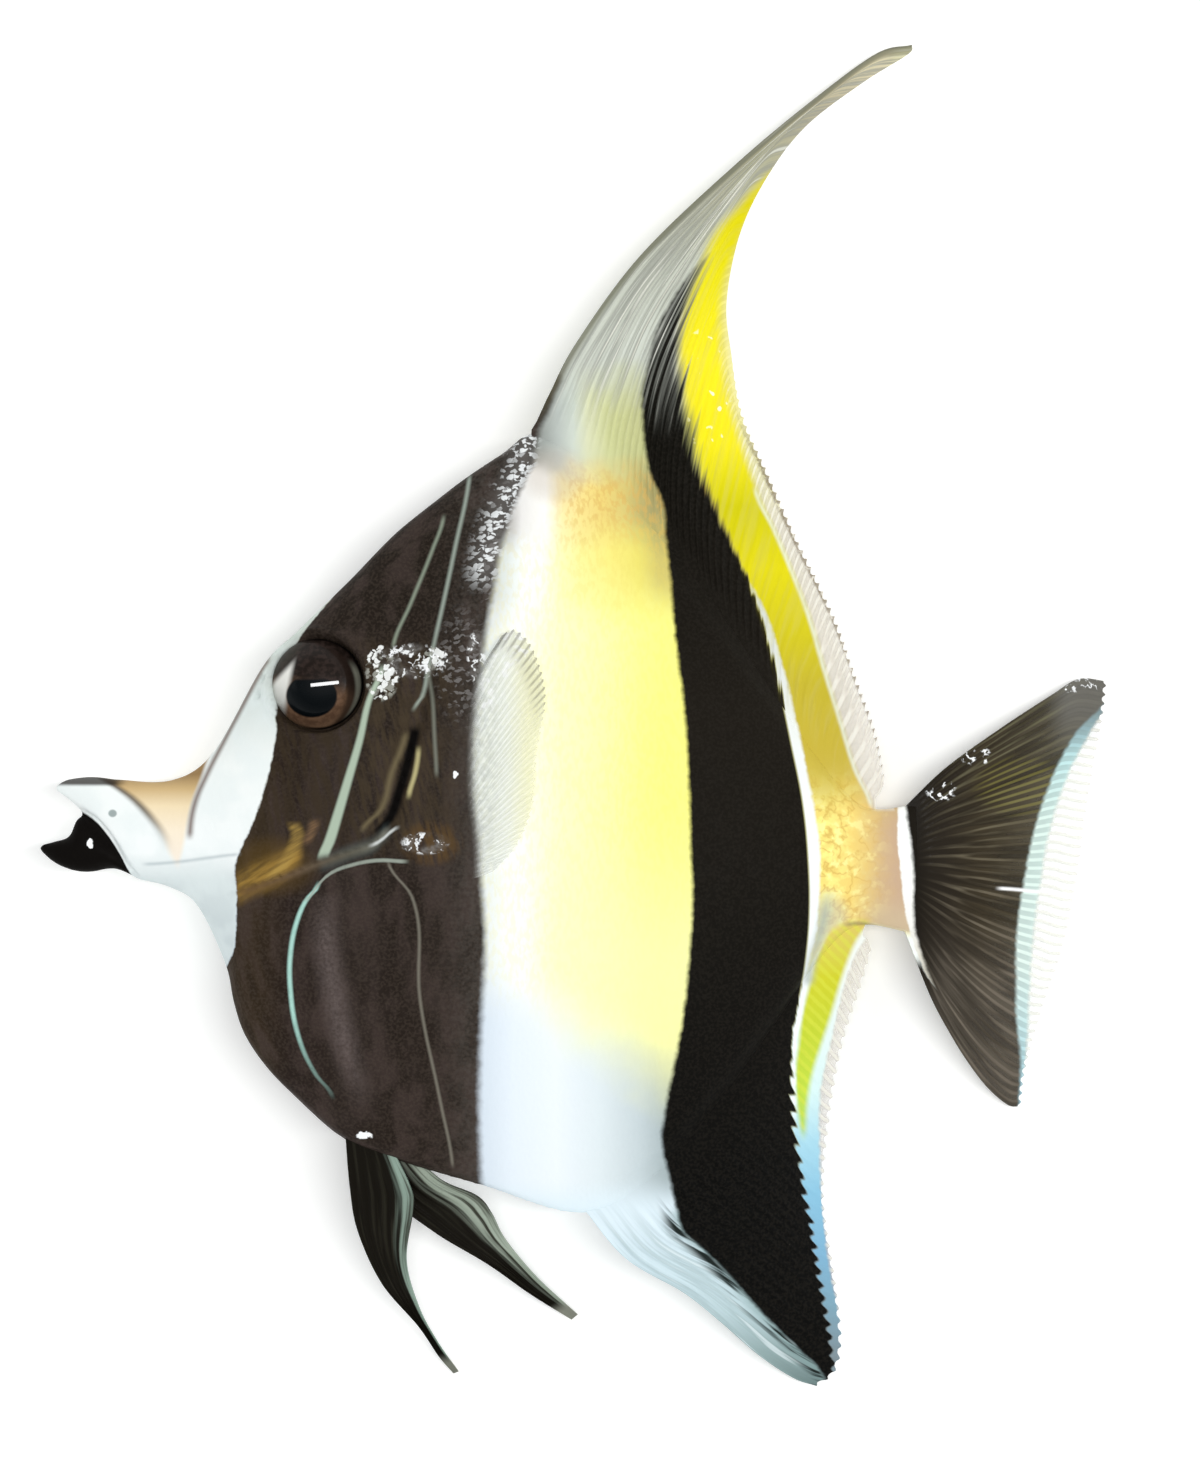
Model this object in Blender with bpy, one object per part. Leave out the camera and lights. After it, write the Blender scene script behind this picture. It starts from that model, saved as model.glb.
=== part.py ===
"""A moorish idol fish at life size, lying still on its right flank with its left side up.

The tail points along +X, the dorsal streamer along +Y, and +Z runs up out of the left flank.
The floor is z = 0. Sizes below are millimetres; every mesh is scaled to metres as it is made.
"""

import math

import bmesh
import bpy
from mathutils import Matrix, Vector
from mathutils.bvhtree import BVHTree

MM = 0.001
GAP = 0.3  # clear space between neighbouring pieces

# The body
MID_HEIGHT = 6.8  # floor to the fish's middle plane, where the flank carries it
TAIL_SAG = 1.3  # how much lower the middle plane lies at the tail root
SAG_FROM, SAG_TO = 10.0, 31.5  # x where that sag begins and ends
RIM_HALF = 0.65  # half the thickness of the body's edge, where a fin joins on
PELVIC_RIM_EXTRA = 0.85  # the edge is this much thicker, each side, over the pelvic fins
BODY_SECTIONS = 46
FLANK_POINTS = 16

# Cross-sections from the jaw to the tail root. Each is a chord from the back to the belly,
# its greatest half thickness, and how blunt its upper and lower ends are: 2 is an ellipse,
# more is blunter, and near 1 is a wedge that runs out into a fin.
BODY_RIBS = (
    ((-44.2, -6.1), (-41.7, -15.6), 2.5, 2.4, 2.0),
    ((-38.6, -6.2), (-38.6, -16.4), 3.1, 2.4, 2.0),
    ((-34.5, -3.5), (-36.0, -18.2), 3.9, 2.6, 1.9),
    ((-29.7, 4.8), (-33.4, -23.7), 5.2, 3.0, 1.8),
    ((-26.4, 8.1), (-32.6, -27.4), 5.9, 3.0, 1.8),
    ((-21.6, 12.8), (-31.6, -30.4), 6.5, 2.5, 1.8),
    ((-16.9, 17.6), (-29.6, -33.4), 6.9, 2.1, 1.8),
    ((-12.1, 21.2), (-26.8, -36.3), 7.15, 1.9, 1.8),
    ((-7.3, 24.1), (-22.3, -40.2), 7.3, 1.7, 1.7),
    ((-3.7, 26.6), (-16.9, -42.4), 7.3, 1.5, 1.6),
    ((1.2, 24.0), (-9.2, -44.7), 7.15, 1.4, 1.5),
    ((6.9, 18.5), (0.9, -47.4), 6.7, 1.4, 1.4),
    ((12.6, 11.5), (8.3, -43.2), 6.1, 1.4, 1.4),
    ((17.5, 4.1), (13.7, -36.6), 5.3, 1.4, 1.4),
    ((21.9, -2.6), (18.5, -29.9), 4.3, 1.5, 1.5),
    ((25.4, -7.1), (22.9, -23.5), 3.4, 1.6, 1.6),
    ((28.1, -8.9), (26.7, -20.1), 2.6, 1.8, 1.8),
    ((31.5, -8.6), (31.5, -20.8), 1.7, 2.0, 2.0),
)
DORSAL_ORIGIN, DORSAL_SPLIT, DORSAL_END = 9, 11, 16  # ribs at the fin roots
ANAL_ORIGIN, ANAL_END = 11, 16
PELVIC_RIB = 8.4

# The jaws, open, in the same form as the body's ribs
JAW_SECTIONS, JAW_POINTS = 12, 8
UPPER_JAW_RIBS = (
    ((-49.7, -6.9), (-49.5, -7.2), 0.5, 2.0, 2.0),
    ((-48.6, -6.2), (-48.3, -8.0), 1.1, 2.2, 2.0),
    ((-46.8, -5.9), (-46.9, -9.3), 1.7, 2.2, 2.0),
    ((-45.6, -5.9), (-45.1, -11.5), 2.1, 2.3, 2.0),
    ((-44.5, -6.0), (-42.05, -15.2), 2.4, 2.4, 2.0),
)
LOWER_JAW_RIBS = (
    ((-51.1, -12.4), (-51.0, -12.9), 0.5, 2.0, 2.0),
    ((-49.6, -12.0), (-49.5, -14.1), 1.3, 2.0, 2.0),
    ((-48.2, -11.5), (-47.7, -14.8), 1.7, 2.0, 2.0),
    ((-47.4, -10.0), (-46.1, -14.9), 1.9, 2.0, 2.0),
    ((-45.8, -11.8), (-44.6, -14.6), 2.0, 2.0, 2.0),
    ((-44.1, -13.8), (-43.6, -14.7), 1.9, 2.0, 2.0),
    ((-42.8, -15.3), (-42.7, -15.7), 1.2, 2.0, 2.0),
)

# The eyes, their bony rims and the nostrils in front of them
EYE_CENTRE = (-24.4, 2.9)
EYE_RADIUS, EYE_HALF_DEPTH, EYE_OFFSET = 4.3, 2.8, 3.7
CORNEA_RADIUS, CORNEA_RISE = 3.3, 0.35
ORBIT_RADIUS, ORBIT_TUBE = 4.75, 0.55
ORBIT_DROP = 0.2  # how far the rim's middle line lies under the skin
NOSTRILS = (((-30.2, 1.9), 0.45), ((-29.6, 3.3), 0.35))  # place and radius

# The gill opening, from the nape down behind the gill cover and forward along the throat
GILL_SLIT = (
    (-14.6, 26.0),
    (-13.4, 15.0),
    (-12.9, 7.1),
    (-14.1, 2.3),
    (-15.3, -2.5),
    (-16.4, -6.6),
    (-17.6, -10.0),
    (-19.8, -12.1),
    (-24.5, -13.2),
    (-31.0, -14.3),
    (-34.8, -16.2),
    (-37.6, -20.5),
)
TAIL_CUT = ((26.2, 2.0), (25.6, -14.0), (25.9, -32.0))  # where the tail's stalk begins
COVER_OUTLINE = (  # the gill cover, with its hind edge in the slit
    (-18.3, 4.6),
    (-13.5, 4.9),
    (-14.1, 2.3),
    (-15.3, -2.5),
    (-16.4, -6.6),
    (-17.6, -10.0),
    (-19.8, -12.1),
    (-23.2, -12.9),
    (-22.0, -7.1),
    (-20.2, -1.0),
)
COVER_BASE = 3.4  # the cover's flat inner face, from the middle plane

# Fins. Each is a sheet between its root, its leading edge, its hind edge and its margin.
ROOT_HALF, MARGIN_HALF = 0.55, 0.25  # half thickness of the membrane
RAY_RISE = 0.12  # how far a ray stands out of the membrane, each side
DROOP_LENGTH = 9.0  # rays much longer than this reach down to the floor
DROOP_CURVE = 1.6

STREAMER_LEAD = (
    (-3.9, 26.9),
    (-3.1, 28.7),
    (-2.2, 30.8),
    (-0.1, 35.4),
    (6.0, 43.8),
    (15.2, 52.8),
    (23.0, 59.5),
    (28.9, 63.9),
    (32.3, 64.8),
)
STREAMER_MARGIN = ((32.3, 64.8), (31.9, 63.9), (27.6, 61.2), (22.1, 57.0), (18.4, 52.2), (15.7, 46.6))
SPLIT_RAY = ((5.6, 20.2), (5.7, 26.1), (6.7, 33.2), (9.2, 39.7), (12.0, 43.3), (15.7, 46.6))
DORSAL_MARGIN = (
    (15.7, 46.6),
    (14.4, 40.1),
    (14.8, 35.2),
    (16.0, 29.0),
    (18.5, 23.2),
    (21.3, 16.9),
    (24.7, 9.8),
    (27.0, 3.3),
    (28.6, -1.4),
    (29.4, -6.0),
)
DORSAL_REAR = ((28.3, -8.5), (29.0, -7.4), (29.4, -6.0))

ANAL_LEAD = (
    (0.9, -47.9),
    (4.5, -51.6),
    (10.1, -55.1),
    (13.7, -58.1),
    (17.4, -61.5),
    (20.8, -63.9),
    (23.1, -64.8),
)
ANAL_MARGIN = (
    (23.1, -64.8),
    (24.9, -63.4),
    (25.5, -60.2),
    (24.9, -54.4),
    (23.8, -46.9),
    (24.2, -39.5),
    (25.4, -32.0),
    (27.3, -25.6),
    (28.1, -22.6),
)
ANAL_REAR = ((26.9, -20.5), (27.7, -21.4), (28.1, -22.6))

TAIL_ROOT = ((31.8, -8.4), (32.2, -14.7), (31.8, -21.0))
TAIL_UPPER = ((31.8, -8.4), (35.1, -5.1), (40.3, -1.4), (45.5, 1.9), (48.3, 3.5), (51.1, 3.3))
TAIL_MARGIN = (
    (51.1, 3.3),
    (50.7, -0.4),
    (49.3, -8.2),
    (48.2, -16.0),
    (47.0, -22.0),
    (44.7, -29.0),
    (43.3, -34.2),
    (42.8, -37.8),
)
TAIL_LOWER = (
    (31.8, -21.0),
    (33.7, -26.8),
    (35.8, -30.7),
    (37.6, -33.5),
    (39.5, -35.9),
    (41.5, -37.6),
    (42.8, -37.8),
)

PECTORAL_ROOT = ((-14.2, -11.4), (-12.4, -13.4), (-11.4, -15.2))
PECTORAL_LEAD = ((-14.2, -11.4), (-12.6, -5.2), (-11.0, 0.0), (-9.0, 4.2), (-6.9, 7.6))
PECTORAL_MARGIN = (
    (-6.9, 7.6),
    (-5.6, 7.9),
    (-4.0, 6.0),
    (-2.9, 1.8),
    (-3.7, -3.6),
    (-4.1, -8.6),
    (-5.6, -12.2),
    (-7.6, -14.5),
)
PECTORAL_REAR = ((-11.4, -15.2), (-9.4, -15.2), (-7.6, -14.5))
PECTORAL_LIFT = 0.7  # how far the left fin's margin stands off the flank
PECTORAL_HALF = (0.45, 0.25)  # half thickness at root and margin
POCKET_SCALE = 1.08  # the hollow under the right flank, against the fin's own outline

PELVIC_OFFSET = 0.8  # each pelvic fin's root lies this far from the middle plane
PELVIC_HALF = (0.5, 0.25)
LEFT_PELVIC_ROOT = (8.0, 8.85)  # rib positions of the root's two ends
LEFT_PELVIC_LEAD = (
    (-21.6, -44.8),
    (-20.9, -49.1),
    (-18.7, -54.3),
    (-15.3, -58.7),
    (-13.4, -61.8),
    (-12.0, -63.6),
)
LEFT_PELVIC_REAR = (
    (-15.8, -44.9),
    (-15.6, -47.0),
    (-16.3, -52.0),
    (-15.2, -56.6),
    (-13.5, -60.2),
    (-11.5, -63.4),
)
RIGHT_PELVIC_ROOT = (8.3, 9.1)
RIGHT_PELVIC_LEAD = ((-18.0, -45.6), (-13.8, -49.3), (-8.7, -52.6), (-4.6, -55.7), (-0.6, -58.4))
RIGHT_PELVIC_REAR = (
    (-13.0, -44.3),
    (-9.6, -45.9),
    (-8.2, -47.6),
    (-6.9, -50.2),
    (-3.9, -54.0),
    (0.0, -57.9),
)

# Plain colours (linear) and roughness of each finish
FINISHES = {
    "dark_skin": ((0.022, 0.017, 0.012, 1.0), 0.35),
    "pale_yellow_skin": ((0.86, 0.82, 0.36, 1.0), 0.35),
    "golden_skin": ((0.72, 0.5, 0.16, 1.0), 0.35),
    "white_lip": ((0.75, 0.8, 0.8, 1.0), 0.3),
    "black_lip": ((0.012, 0.01, 0.008, 1.0), 0.25),
    "yellow_fin": ((0.75, 0.66, 0.06, 1.0), 0.35),
    "grey_fin": ((0.55, 0.58, 0.55, 1.0), 0.35),
    "black_fin": ((0.02, 0.018, 0.014, 1.0), 0.35),
    "clear_fin": ((0.75, 0.75, 0.66, 1.0), 0.3),
    "eye": ((0.03, 0.022, 0.016, 1.0), 0.08),
}


class Path:
    """A smooth line through a few points, read by its share of the length."""

    STEPS = 10

    def __init__(self, points):
        last = len(points) - 1
        self.points = [
            between_rows(points, i / self.STEPS) for i in range(last * self.STEPS + 1)
        ]
        self.lengths = [0.0]
        for a, b in zip(self.points, self.points[1:]):
            self.lengths.append(self.lengths[-1] + (b - a).length)

    def at(self, share):
        target = min(max(share, 0.0), 1.0) * self.lengths[-1]
        for i in range(1, len(self.points)):
            if self.lengths[i] >= target:
                step = self.lengths[i] - self.lengths[i - 1]
                part = (target - self.lengths[i - 1]) / step
                return self.points[i - 1].lerp(self.points[i], part)
        return self.points[-1].copy()

    def even(self, count):
        return [self.at(i / (count - 1)) for i in range(count)]


def between_rows(rows, t):
    """The row at position t of a smooth line through rows of numbers."""
    last = len(rows) - 1
    i = min(int(t), last - 1)
    f = t - i
    a, b = Vector(rows[i]), Vector(rows[i + 1])
    before = Vector(rows[i - 1]) if i > 0 else 2 * a - b
    after = Vector(rows[i + 2]) if i + 2 <= last else 2 * b - a
    slope_a, slope_b = (b - before) / 2, (after - a) / 2
    return (
        a * (2 * f**3 - 3 * f**2 + 1)
        + slope_a * (f**3 - 2 * f**2 + f)
        + b * (3 * f**2 - 2 * f**3)
        + slope_b * (f**3 - f**2)
    )


def smooth(x):
    x = min(max(x, 0.0), 1.0)
    return x * x * (3 - 2 * x)


def middle_height(x):
    """Height of the fish's middle plane, which sags towards the tail."""
    return MID_HEIGHT - TAIL_SAG * smooth((x - SAG_FROM) / (SAG_TO - SAG_FROM))


def swell(depth, blunt):
    """Share of the full thickness at a share of the way in from an edge."""
    return (1 - (1 - depth) ** blunt) ** (1 / blunt)


def rib_at(ribs, t):
    """Back point, belly point, half thickness and the two bluntnesses at rib position t."""
    row = between_rows([(*rib[0], *rib[1], *rib[2:]) for rib in ribs], t)
    return Vector(row[0:2]), Vector(row[2:4]), row[4], row[5], row[6]


def body_rim(t, upper):
    """Half thickness of the body's edge at rib position t."""
    if upper:
        return RIM_HALF
    return RIM_HALF + PELVIC_RIM_EXTRA * math.exp(-((t - PELVIC_RIB) ** 2))


def make_object(name, mesh, finish=None):
    obj = bpy.data.objects.new(name, mesh)
    bpy.context.scene.collection.objects.link(obj)
    if finish:
        obj.data.materials.clear()
        obj.data.materials.append(material(finish))
    return obj


def material(finish):
    """The plain material of a finish, made once."""
    found = bpy.data.materials.get(finish)
    if found:
        return found
    colour, roughness = FINISHES[finish]
    made = bpy.data.materials.new(finish)
    made.use_nodes = True
    shader = made.node_tree.nodes["Principled BSDF"]
    shader.inputs["Base Color"].default_value = colour
    shader.inputs["Roughness"].default_value = roughness
    made.diffuse_color = colour
    return made


def finish_mesh(name, bm):
    """A mesh in metres from a bmesh in millimetres, with its faces pointing out."""
    bmesh.ops.recalc_face_normals(bm, faces=bm.faces)
    bmesh.ops.scale(bm, vec=(MM, MM, MM), verts=bm.verts)
    mesh = bpy.data.meshes.new(name)
    bm.to_mesh(mesh)
    bm.free()
    return mesh


def loft(name, ribs, sections, points, rim, height):
    """A closed skin over ribs: each section is a flat loop, thin at both edges."""
    bm = bmesh.new()
    loops = []
    last = len(ribs) - 1
    for s in range(sections + 1):
        t = last * s / sections
        top, bottom, half, blunt_top, blunt_bottom = rib_at(ribs, t)
        sides = {1: [], -1: []}
        for k in range(points + 1):
            across = (1 - math.cos(math.pi * k / points)) / 2
            upper = across < 0.5
            depth = 2 * across if upper else 2 - 2 * across
            edge = min(rim(t, upper), half)
            thick = edge + (half - edge) * swell(depth, blunt_top if upper else blunt_bottom)
            place = top.lerp(bottom, across)
            middle = height(place.x)
            for side in sides:
                sides[side].append(bm.verts.new((place.x, place.y, middle + side * thick)))
        loops.append(sides[1] + sides[-1][::-1])
    for a, b in zip(loops, loops[1:]):
        for i in range(len(a)):
            j = (i + 1) % len(a)
            bm.faces.new((a[i], a[j], b[j], b[i]))
    bm.faces.new(loops[0])
    bm.faces.new(loops[-1])
    return finish_mesh(name, bm)


def offset_outline(points, distance):
    """A closed outline moved outwards by a distance, or inwards by a negative one."""
    area = sum(a[0] * b[1] - b[0] * a[1] for a, b in zip(points, points[1:] + points[:1]))
    turn = 1 if area > 0 else -1
    moved = []
    for i, here in enumerate(points):
        before, after = Vector(points[i - 1]), Vector(points[(i + 1) % len(points)])
        here = Vector(here)
        inwards, onwards = (here - before).normalized(), (after - here).normalized()
        normal = Vector((inwards.y + onwards.y, -inwards.x - onwards.x)) * turn
        normal.normalize()
        share = max(normal.dot(Vector((onwards.y, -onwards.x)) * turn), 0.5)
        moved.append(here + normal * distance / share)
    return moved


def prism(name, outline, low, high):
    """A closed straight block over an outline, used as a cutter."""
    bm = bmesh.new()
    face = bm.faces.new([bm.verts.new((p[0], p[1], low)) for p in outline])
    raised = bmesh.ops.extrude_face_region(bm, geom=[face])
    tops = [g for g in raised["geom"] if isinstance(g, bmesh.types.BMVert)]
    bmesh.ops.translate(bm, verts=tops, vec=(0, 0, high - low))
    bmesh.ops.triangulate(bm, faces=bm.faces)
    return make_object(name, finish_mesh(name, bm))


def wall(name, line, count):
    """A thin upright wall that follows a line, used to part two pieces by the gap."""
    middle = Path(line).even(count)
    left, right = [], []
    for i, here in enumerate(middle):
        along = middle[min(i + 1, count - 1)] - middle[max(i - 1, 0)]
        across = Vector((-along.y, along.x)).normalized() * GAP / 2
        left.append(here + across)
        right.append(here - across)
    return prism(name, left + right[::-1], -2.0, 20.0)


def ball(name, centre, radii, segments=20, rings=12):
    """A closed ellipsoid."""
    bm = bmesh.new()
    bmesh.ops.create_uvsphere(bm, u_segments=segments, v_segments=rings, radius=1.0)
    bmesh.ops.scale(bm, vec=radii, verts=bm.verts)
    bmesh.ops.translate(bm, vec=centre, verts=bm.verts)
    return make_object(name, finish_mesh(name, bm))


def boolean(obj, other, operation):
    """Joins or cuts obj with another closed piece, which is then removed."""
    modifier = obj.modifiers.new(operation, "BOOLEAN")
    modifier.operation = operation
    modifier.solver = "EXACT"
    modifier.object = other
    graph = bpy.context.evaluated_depsgraph_get()
    mesh = bpy.data.meshes.new_from_object(obj.evaluated_get(graph))
    obj.modifiers.clear()
    obj.data = mesh
    bpy.data.objects.remove(other)


def islands(obj):
    """The closed surfaces of a mesh, largest area first, each a list of face indices."""
    bm = bmesh.new()
    bm.from_mesh(obj.data)
    left, found = set(bm.faces), []
    while left:
        stack, group = [left.pop()], []
        while stack:
            face = stack.pop()
            group.append(face)
            for edge in face.edges:
                for other in edge.link_faces:
                    if other in left:
                        left.remove(other)
                        stack.append(other)
        found.append(group)
    found.sort(key=lambda group: -sum(face.calc_area() for face in group))
    numbers = [[face.index for face in group] for group in found]
    bm.free()
    return numbers


def keep_faces(obj, numbers):
    """Removes every face of obj that isn't in the list."""
    bm = bmesh.new()
    bm.from_mesh(obj.data)
    bm.faces.ensure_lookup_table()
    kept = set(numbers)
    gone = [face for face in bm.faces if face.index not in kept]
    bmesh.ops.delete(bm, geom=gone, context="FACES")
    bm.to_mesh(obj.data)
    bm.free()


def tidy(obj, finish):
    """Keeps the largest closed surface, and shades it smooth with its finish."""
    keep_faces(obj, islands(obj)[0])
    obj.data.materials.clear()
    obj.data.materials.append(material(finish))
    obj.data.shade_smooth()
    obj.data.set_sharp_from_angle(angle=math.radians(35))


def fin_place(root, margin, lead, rear, u, v):
    """The point of a fin's sheet at share u along the root and share v along the ray."""
    sides = lead.at(v).lerp(rear.at(v), u)
    ends = root.at(u).lerp(margin.at(u), v)
    corners = root.at(0).lerp(root.at(1), u).lerp(margin.at(0).lerp(margin.at(1), u), v)
    return sides + ends - corners


def drooped(root_height, length, v, half):
    """Height of a fin's middle at share v along a ray that sinks towards the floor."""
    drop = (root_height - half) * (1 - math.exp(-((length / DROOP_LENGTH) ** 2)))
    return max(root_height - drop * v**DROOP_CURVE, half)


def fin(name, edges, rays, rows, finish, height, halves=(ROOT_HALF, MARGIN_HALF)):
    """A closed sheet with a ridge along each ray, its two faces split alike."""
    root, margin, lead, rear = edges
    columns = 2 * rays
    bm = bmesh.new()
    grids = {1: [], -1: []}
    for i in range(columns + 1):
        u = i / columns
        ridge = RAY_RISE * (i % 2)
        length = (margin.at(u) - root.at(u)).length
        lines = {1: [], -1: []}
        for j in range(rows + 1):
            v = j / rows
            half = halves[0] + (halves[1] - halves[0]) * v**0.7
            place = fin_place(root, margin, lead, rear, u, v)
            middle = height(place, length, v, half)
            for side in lines:
                z = middle + side * (half + ridge * (1 - 0.5 * v))
                lines[side].append(bm.verts.new((place.x, place.y, max(z, 0.0))))
        for side in grids:
            grids[side].append(lines[side])
    close_sheet(bm, grids[1], grids[-1])
    obj = make_object(name, finish_mesh(name, bm), finish)
    obj.data.shade_smooth()
    obj.data.set_sharp_from_angle(angle=math.radians(50))
    return obj


def close_sheet(bm, over, under):
    """Faces for two grids of points, split into triangles alike, and for the edge round them."""
    wide, high = len(over) - 1, len(over[0]) - 1
    for i in range(wide):
        for j in range(high):
            for grid in (over, under):
                a, b, c, d = grid[i][j], grid[i + 1][j], grid[i + 1][j + 1], grid[i][j + 1]
                bm.faces.new((a, b, c))
                bm.faces.new((a, c, d))
    border = [(i, 0) for i in range(wide)] + [(wide, j) for j in range(high)]
    border += [(i, high) for i in range(wide, 0, -1)] + [(0, j) for j in range(high, 0, -1)]
    for (i, j), (k, m) in zip(border, border[1:] + border[:1]):
        bm.faces.new((over[i][j], over[k][m], under[k][m], under[i][j]))


def rim_root(first, last, upper, out):
    """A fin's root line: the body's edge between two ribs, moved outwards by the gap."""
    count = 4 * math.ceil(last - first) + 1
    line = []
    for i in range(count):
        top, bottom = rib_at(BODY_RIBS, first + (last - first) * i / (count - 1))[:2]
        edge, inner = (top, bottom) if upper else (bottom, top)
        line.append(edge + (edge - inner).normalized() * out)
    return line


def loft_body():
    """The whole body and head in one skin, with the bony rims round its eyes."""
    mesh = loft("whole", BODY_RIBS, BODY_SECTIONS, FLANK_POINTS, body_rim, middle_height)
    return make_object("whole", mesh)


def surface_finder(obj):
    """A function that gives the height of obj's upper or lower skin over a place."""
    tree = BVHTree.FromObject(obj, bpy.context.evaluated_depsgraph_get())

    def find(x, y, side):
        start = Vector((x * MM, y * MM, side * 0.05))
        hit = tree.ray_cast(start, Vector((0, 0, -side)))[0]
        return hit.z / MM if hit else MID_HEIGHT

    return find


def add_orbits(whole, skin):
    """Joins a raised ring round each eye, then cuts the sockets."""
    for side in (1, -1):
        bm = bmesh.new()
        bmesh.ops.create_circle(bm, segments=8, radius=ORBIT_TUBE)
        bmesh.ops.rotate(bm, verts=bm.verts, cent=(0, 0, 0), matrix=Matrix.Rotation(math.pi / 2, 3, "X"))
        bmesh.ops.translate(bm, verts=bm.verts, vec=(ORBIT_RADIUS, 0, 0))
        bmesh.ops.spin(
            bm, geom=bm.edges[:], cent=(0, 0, 0), axis=(0, 0, 1), angle=2 * math.pi, steps=28, use_merge=True
        )
        bmesh.ops.remove_doubles(bm, verts=bm.verts, dist=0.001)
        for vert in bm.verts:
            x, y = vert.co.x + EYE_CENTRE[0], vert.co.y + EYE_CENTRE[1]
            reach = vert.co.xy.normalized() * ORBIT_RADIUS
            under = skin(EYE_CENTRE[0] + reach.x, EYE_CENTRE[1] + reach.y, side)
            vert.co = (x, y, under + vert.co.z - side * ORBIT_DROP)
        boolean(whole, make_object("orbit", finish_mesh("orbit", bm)), "UNION")
    for side in (1, -1):
        centre = (*EYE_CENTRE, MID_HEIGHT + side * EYE_OFFSET)
        radii = (EYE_RADIUS + GAP, EYE_RADIUS + GAP, EYE_HALF_DEPTH + GAP)
        boolean(whole, ball("socket", centre, radii, 28, 14), "DIFFERENCE")


def add_nostrils(whole, skin):
    """Two small pits in front of each eye."""
    for side in (1, -1):
        for place, radius in NOSTRILS:
            centre = (*place, skin(*place, side))
            boolean(whole, ball("nostril", centre, (radius, radius, 1.5 * radius), 10, 6), "DIFFERENCE")


def make_eyes():
    """Each eye is a flattened ball with the cornea standing a little out of it."""
    for name, side in (("eye_left", 1), ("eye_right", -1)):
        bm = bmesh.new()
        bmesh.ops.create_uvsphere(bm, u_segments=24, v_segments=12, radius=1.0)
        for vert in bm.verts:
            spread = vert.co.xy.length
            out = max(vert.co.z * side, 0.0)
            dome = CORNEA_RISE * out * smooth((CORNEA_RADIUS / EYE_RADIUS - spread) * 3 + 0.5)
            vert.co.x *= EYE_RADIUS
            vert.co.y *= EYE_RADIUS
            vert.co.z = vert.co.z * (EYE_HALF_DEPTH - CORNEA_RISE) + side * dome
        middle = (*EYE_CENTRE, MID_HEIGHT + side * EYE_OFFSET)
        bmesh.ops.translate(bm, vec=middle, verts=bm.verts)
        make_object(name, finish_mesh(name, bm), "eye").data.shade_smooth()


def make_jaws():
    """The open beak: the pale upper jaw and the black lower one."""
    for name, ribs, finish in (
        ("upper_jaw", UPPER_JAW_RIBS, "white_lip"),
        ("lower_jaw", LOWER_JAW_RIBS, "black_lip"),
    ):
        mesh = loft(name, ribs, JAW_SECTIONS, JAW_POINTS, lambda t, upper: 0.4, middle_height)
        tidy(make_object(name, mesh), finish)


def press_flat(whole):
    """Cuts away what would sink into the floor, which leaves the flank's flat."""
    square = [(-60, -70), (60, -70), (60, 70), (-60, 70)]
    boolean(whole, prism("floor", square, -9.0, 0.0), "DIFFERENCE")


def cut_gill_covers(whole):
    """Takes a plate out of each cheek and leaves the gap round it."""
    cover_outline = offset_outline(list(COVER_OUTLINE), -0.2)
    hole_outline = offset_outline(list(COVER_OUTLINE), GAP - 0.2)
    for name, side in (("gill_cover_left", 1), ("gill_cover_right", -1)):
        cover = make_object(name, whole.data.copy())
        inner, outer = MID_HEIGHT + side * COVER_BASE, MID_HEIGHT + side * 15
        block = prism("block", cover_outline, min(inner, outer), max(inner, outer))
        boolean(cover, block, "INTERSECT")
        tidy(cover, "dark_skin")
        inner -= side * GAP
        boolean(whole, prism("block", hole_outline, min(inner, outer), max(inner, outer)), "DIFFERENCE")


def part_body(whole):
    """Cuts the whole into head, trunk and tail stalk, and names them from front to back."""
    boolean(whole, wall("slit", GILL_SLIT, 45), "DIFFERENCE")
    boolean(whole, wall("tail_cut", TAIL_CUT, 5), "DIFFERENCE")
    pieces = islands(whole)[:3]
    centre = {}
    for number, faces in enumerate(pieces):
        centre[number] = sum(whole.data.polygons[i].center.x for i in faces) / len(faces)
    order = sorted(centre, key=centre.get)
    for number, (name, finish) in zip(
        order, (("head", "dark_skin"), ("body", "pale_yellow_skin"), ("tail_stalk", "golden_skin"))
    ):
        piece = make_object(name, whole.data.copy())
        keep_faces(piece, pieces[number])
        tidy(piece, finish)
    bpy.data.objects.remove(whole)


def pectoral_edges():
    return [Path(line) for line in (PECTORAL_ROOT, PECTORAL_MARGIN, PECTORAL_LEAD, PECTORAL_REAR)]


def cut_pectoral_pocket(whole):
    """A shallow hollow under the right flank, where the fish lies on its own fin."""
    root, margin, lead, rear = pectoral_edges()
    outline = lead.even(8) + margin.even(12)[1:] + rear.even(3)[::-1][1:] + root.even(3)[::-1][1:-1]
    centre = sum(outline, Vector((0, 0))) / len(outline)
    wide = [centre + (p - centre) * POCKET_SCALE for p in outline]
    top = 2 * PECTORAL_HALF[0] + RAY_RISE + GAP
    boolean(whole, prism("pocket", wide, -1.0, top), "DIFFERENCE")


def make_pectorals(skin):
    """The left fin lies on the flank, and the right one is pressed flat under it."""

    def on_flank(place, _length, v, half):
        return skin(place.x, place.y, 1) + GAP + half + RAY_RISE + PECTORAL_LIFT * v * v

    def on_floor(_place, _length, _v, half):
        return half

    for name, height in (("pectoral_fin_left", on_flank), ("pectoral_fin_right", on_floor)):
        fin(name, pectoral_edges(), 12, 7, "clear_fin", height, PECTORAL_HALF)


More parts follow.
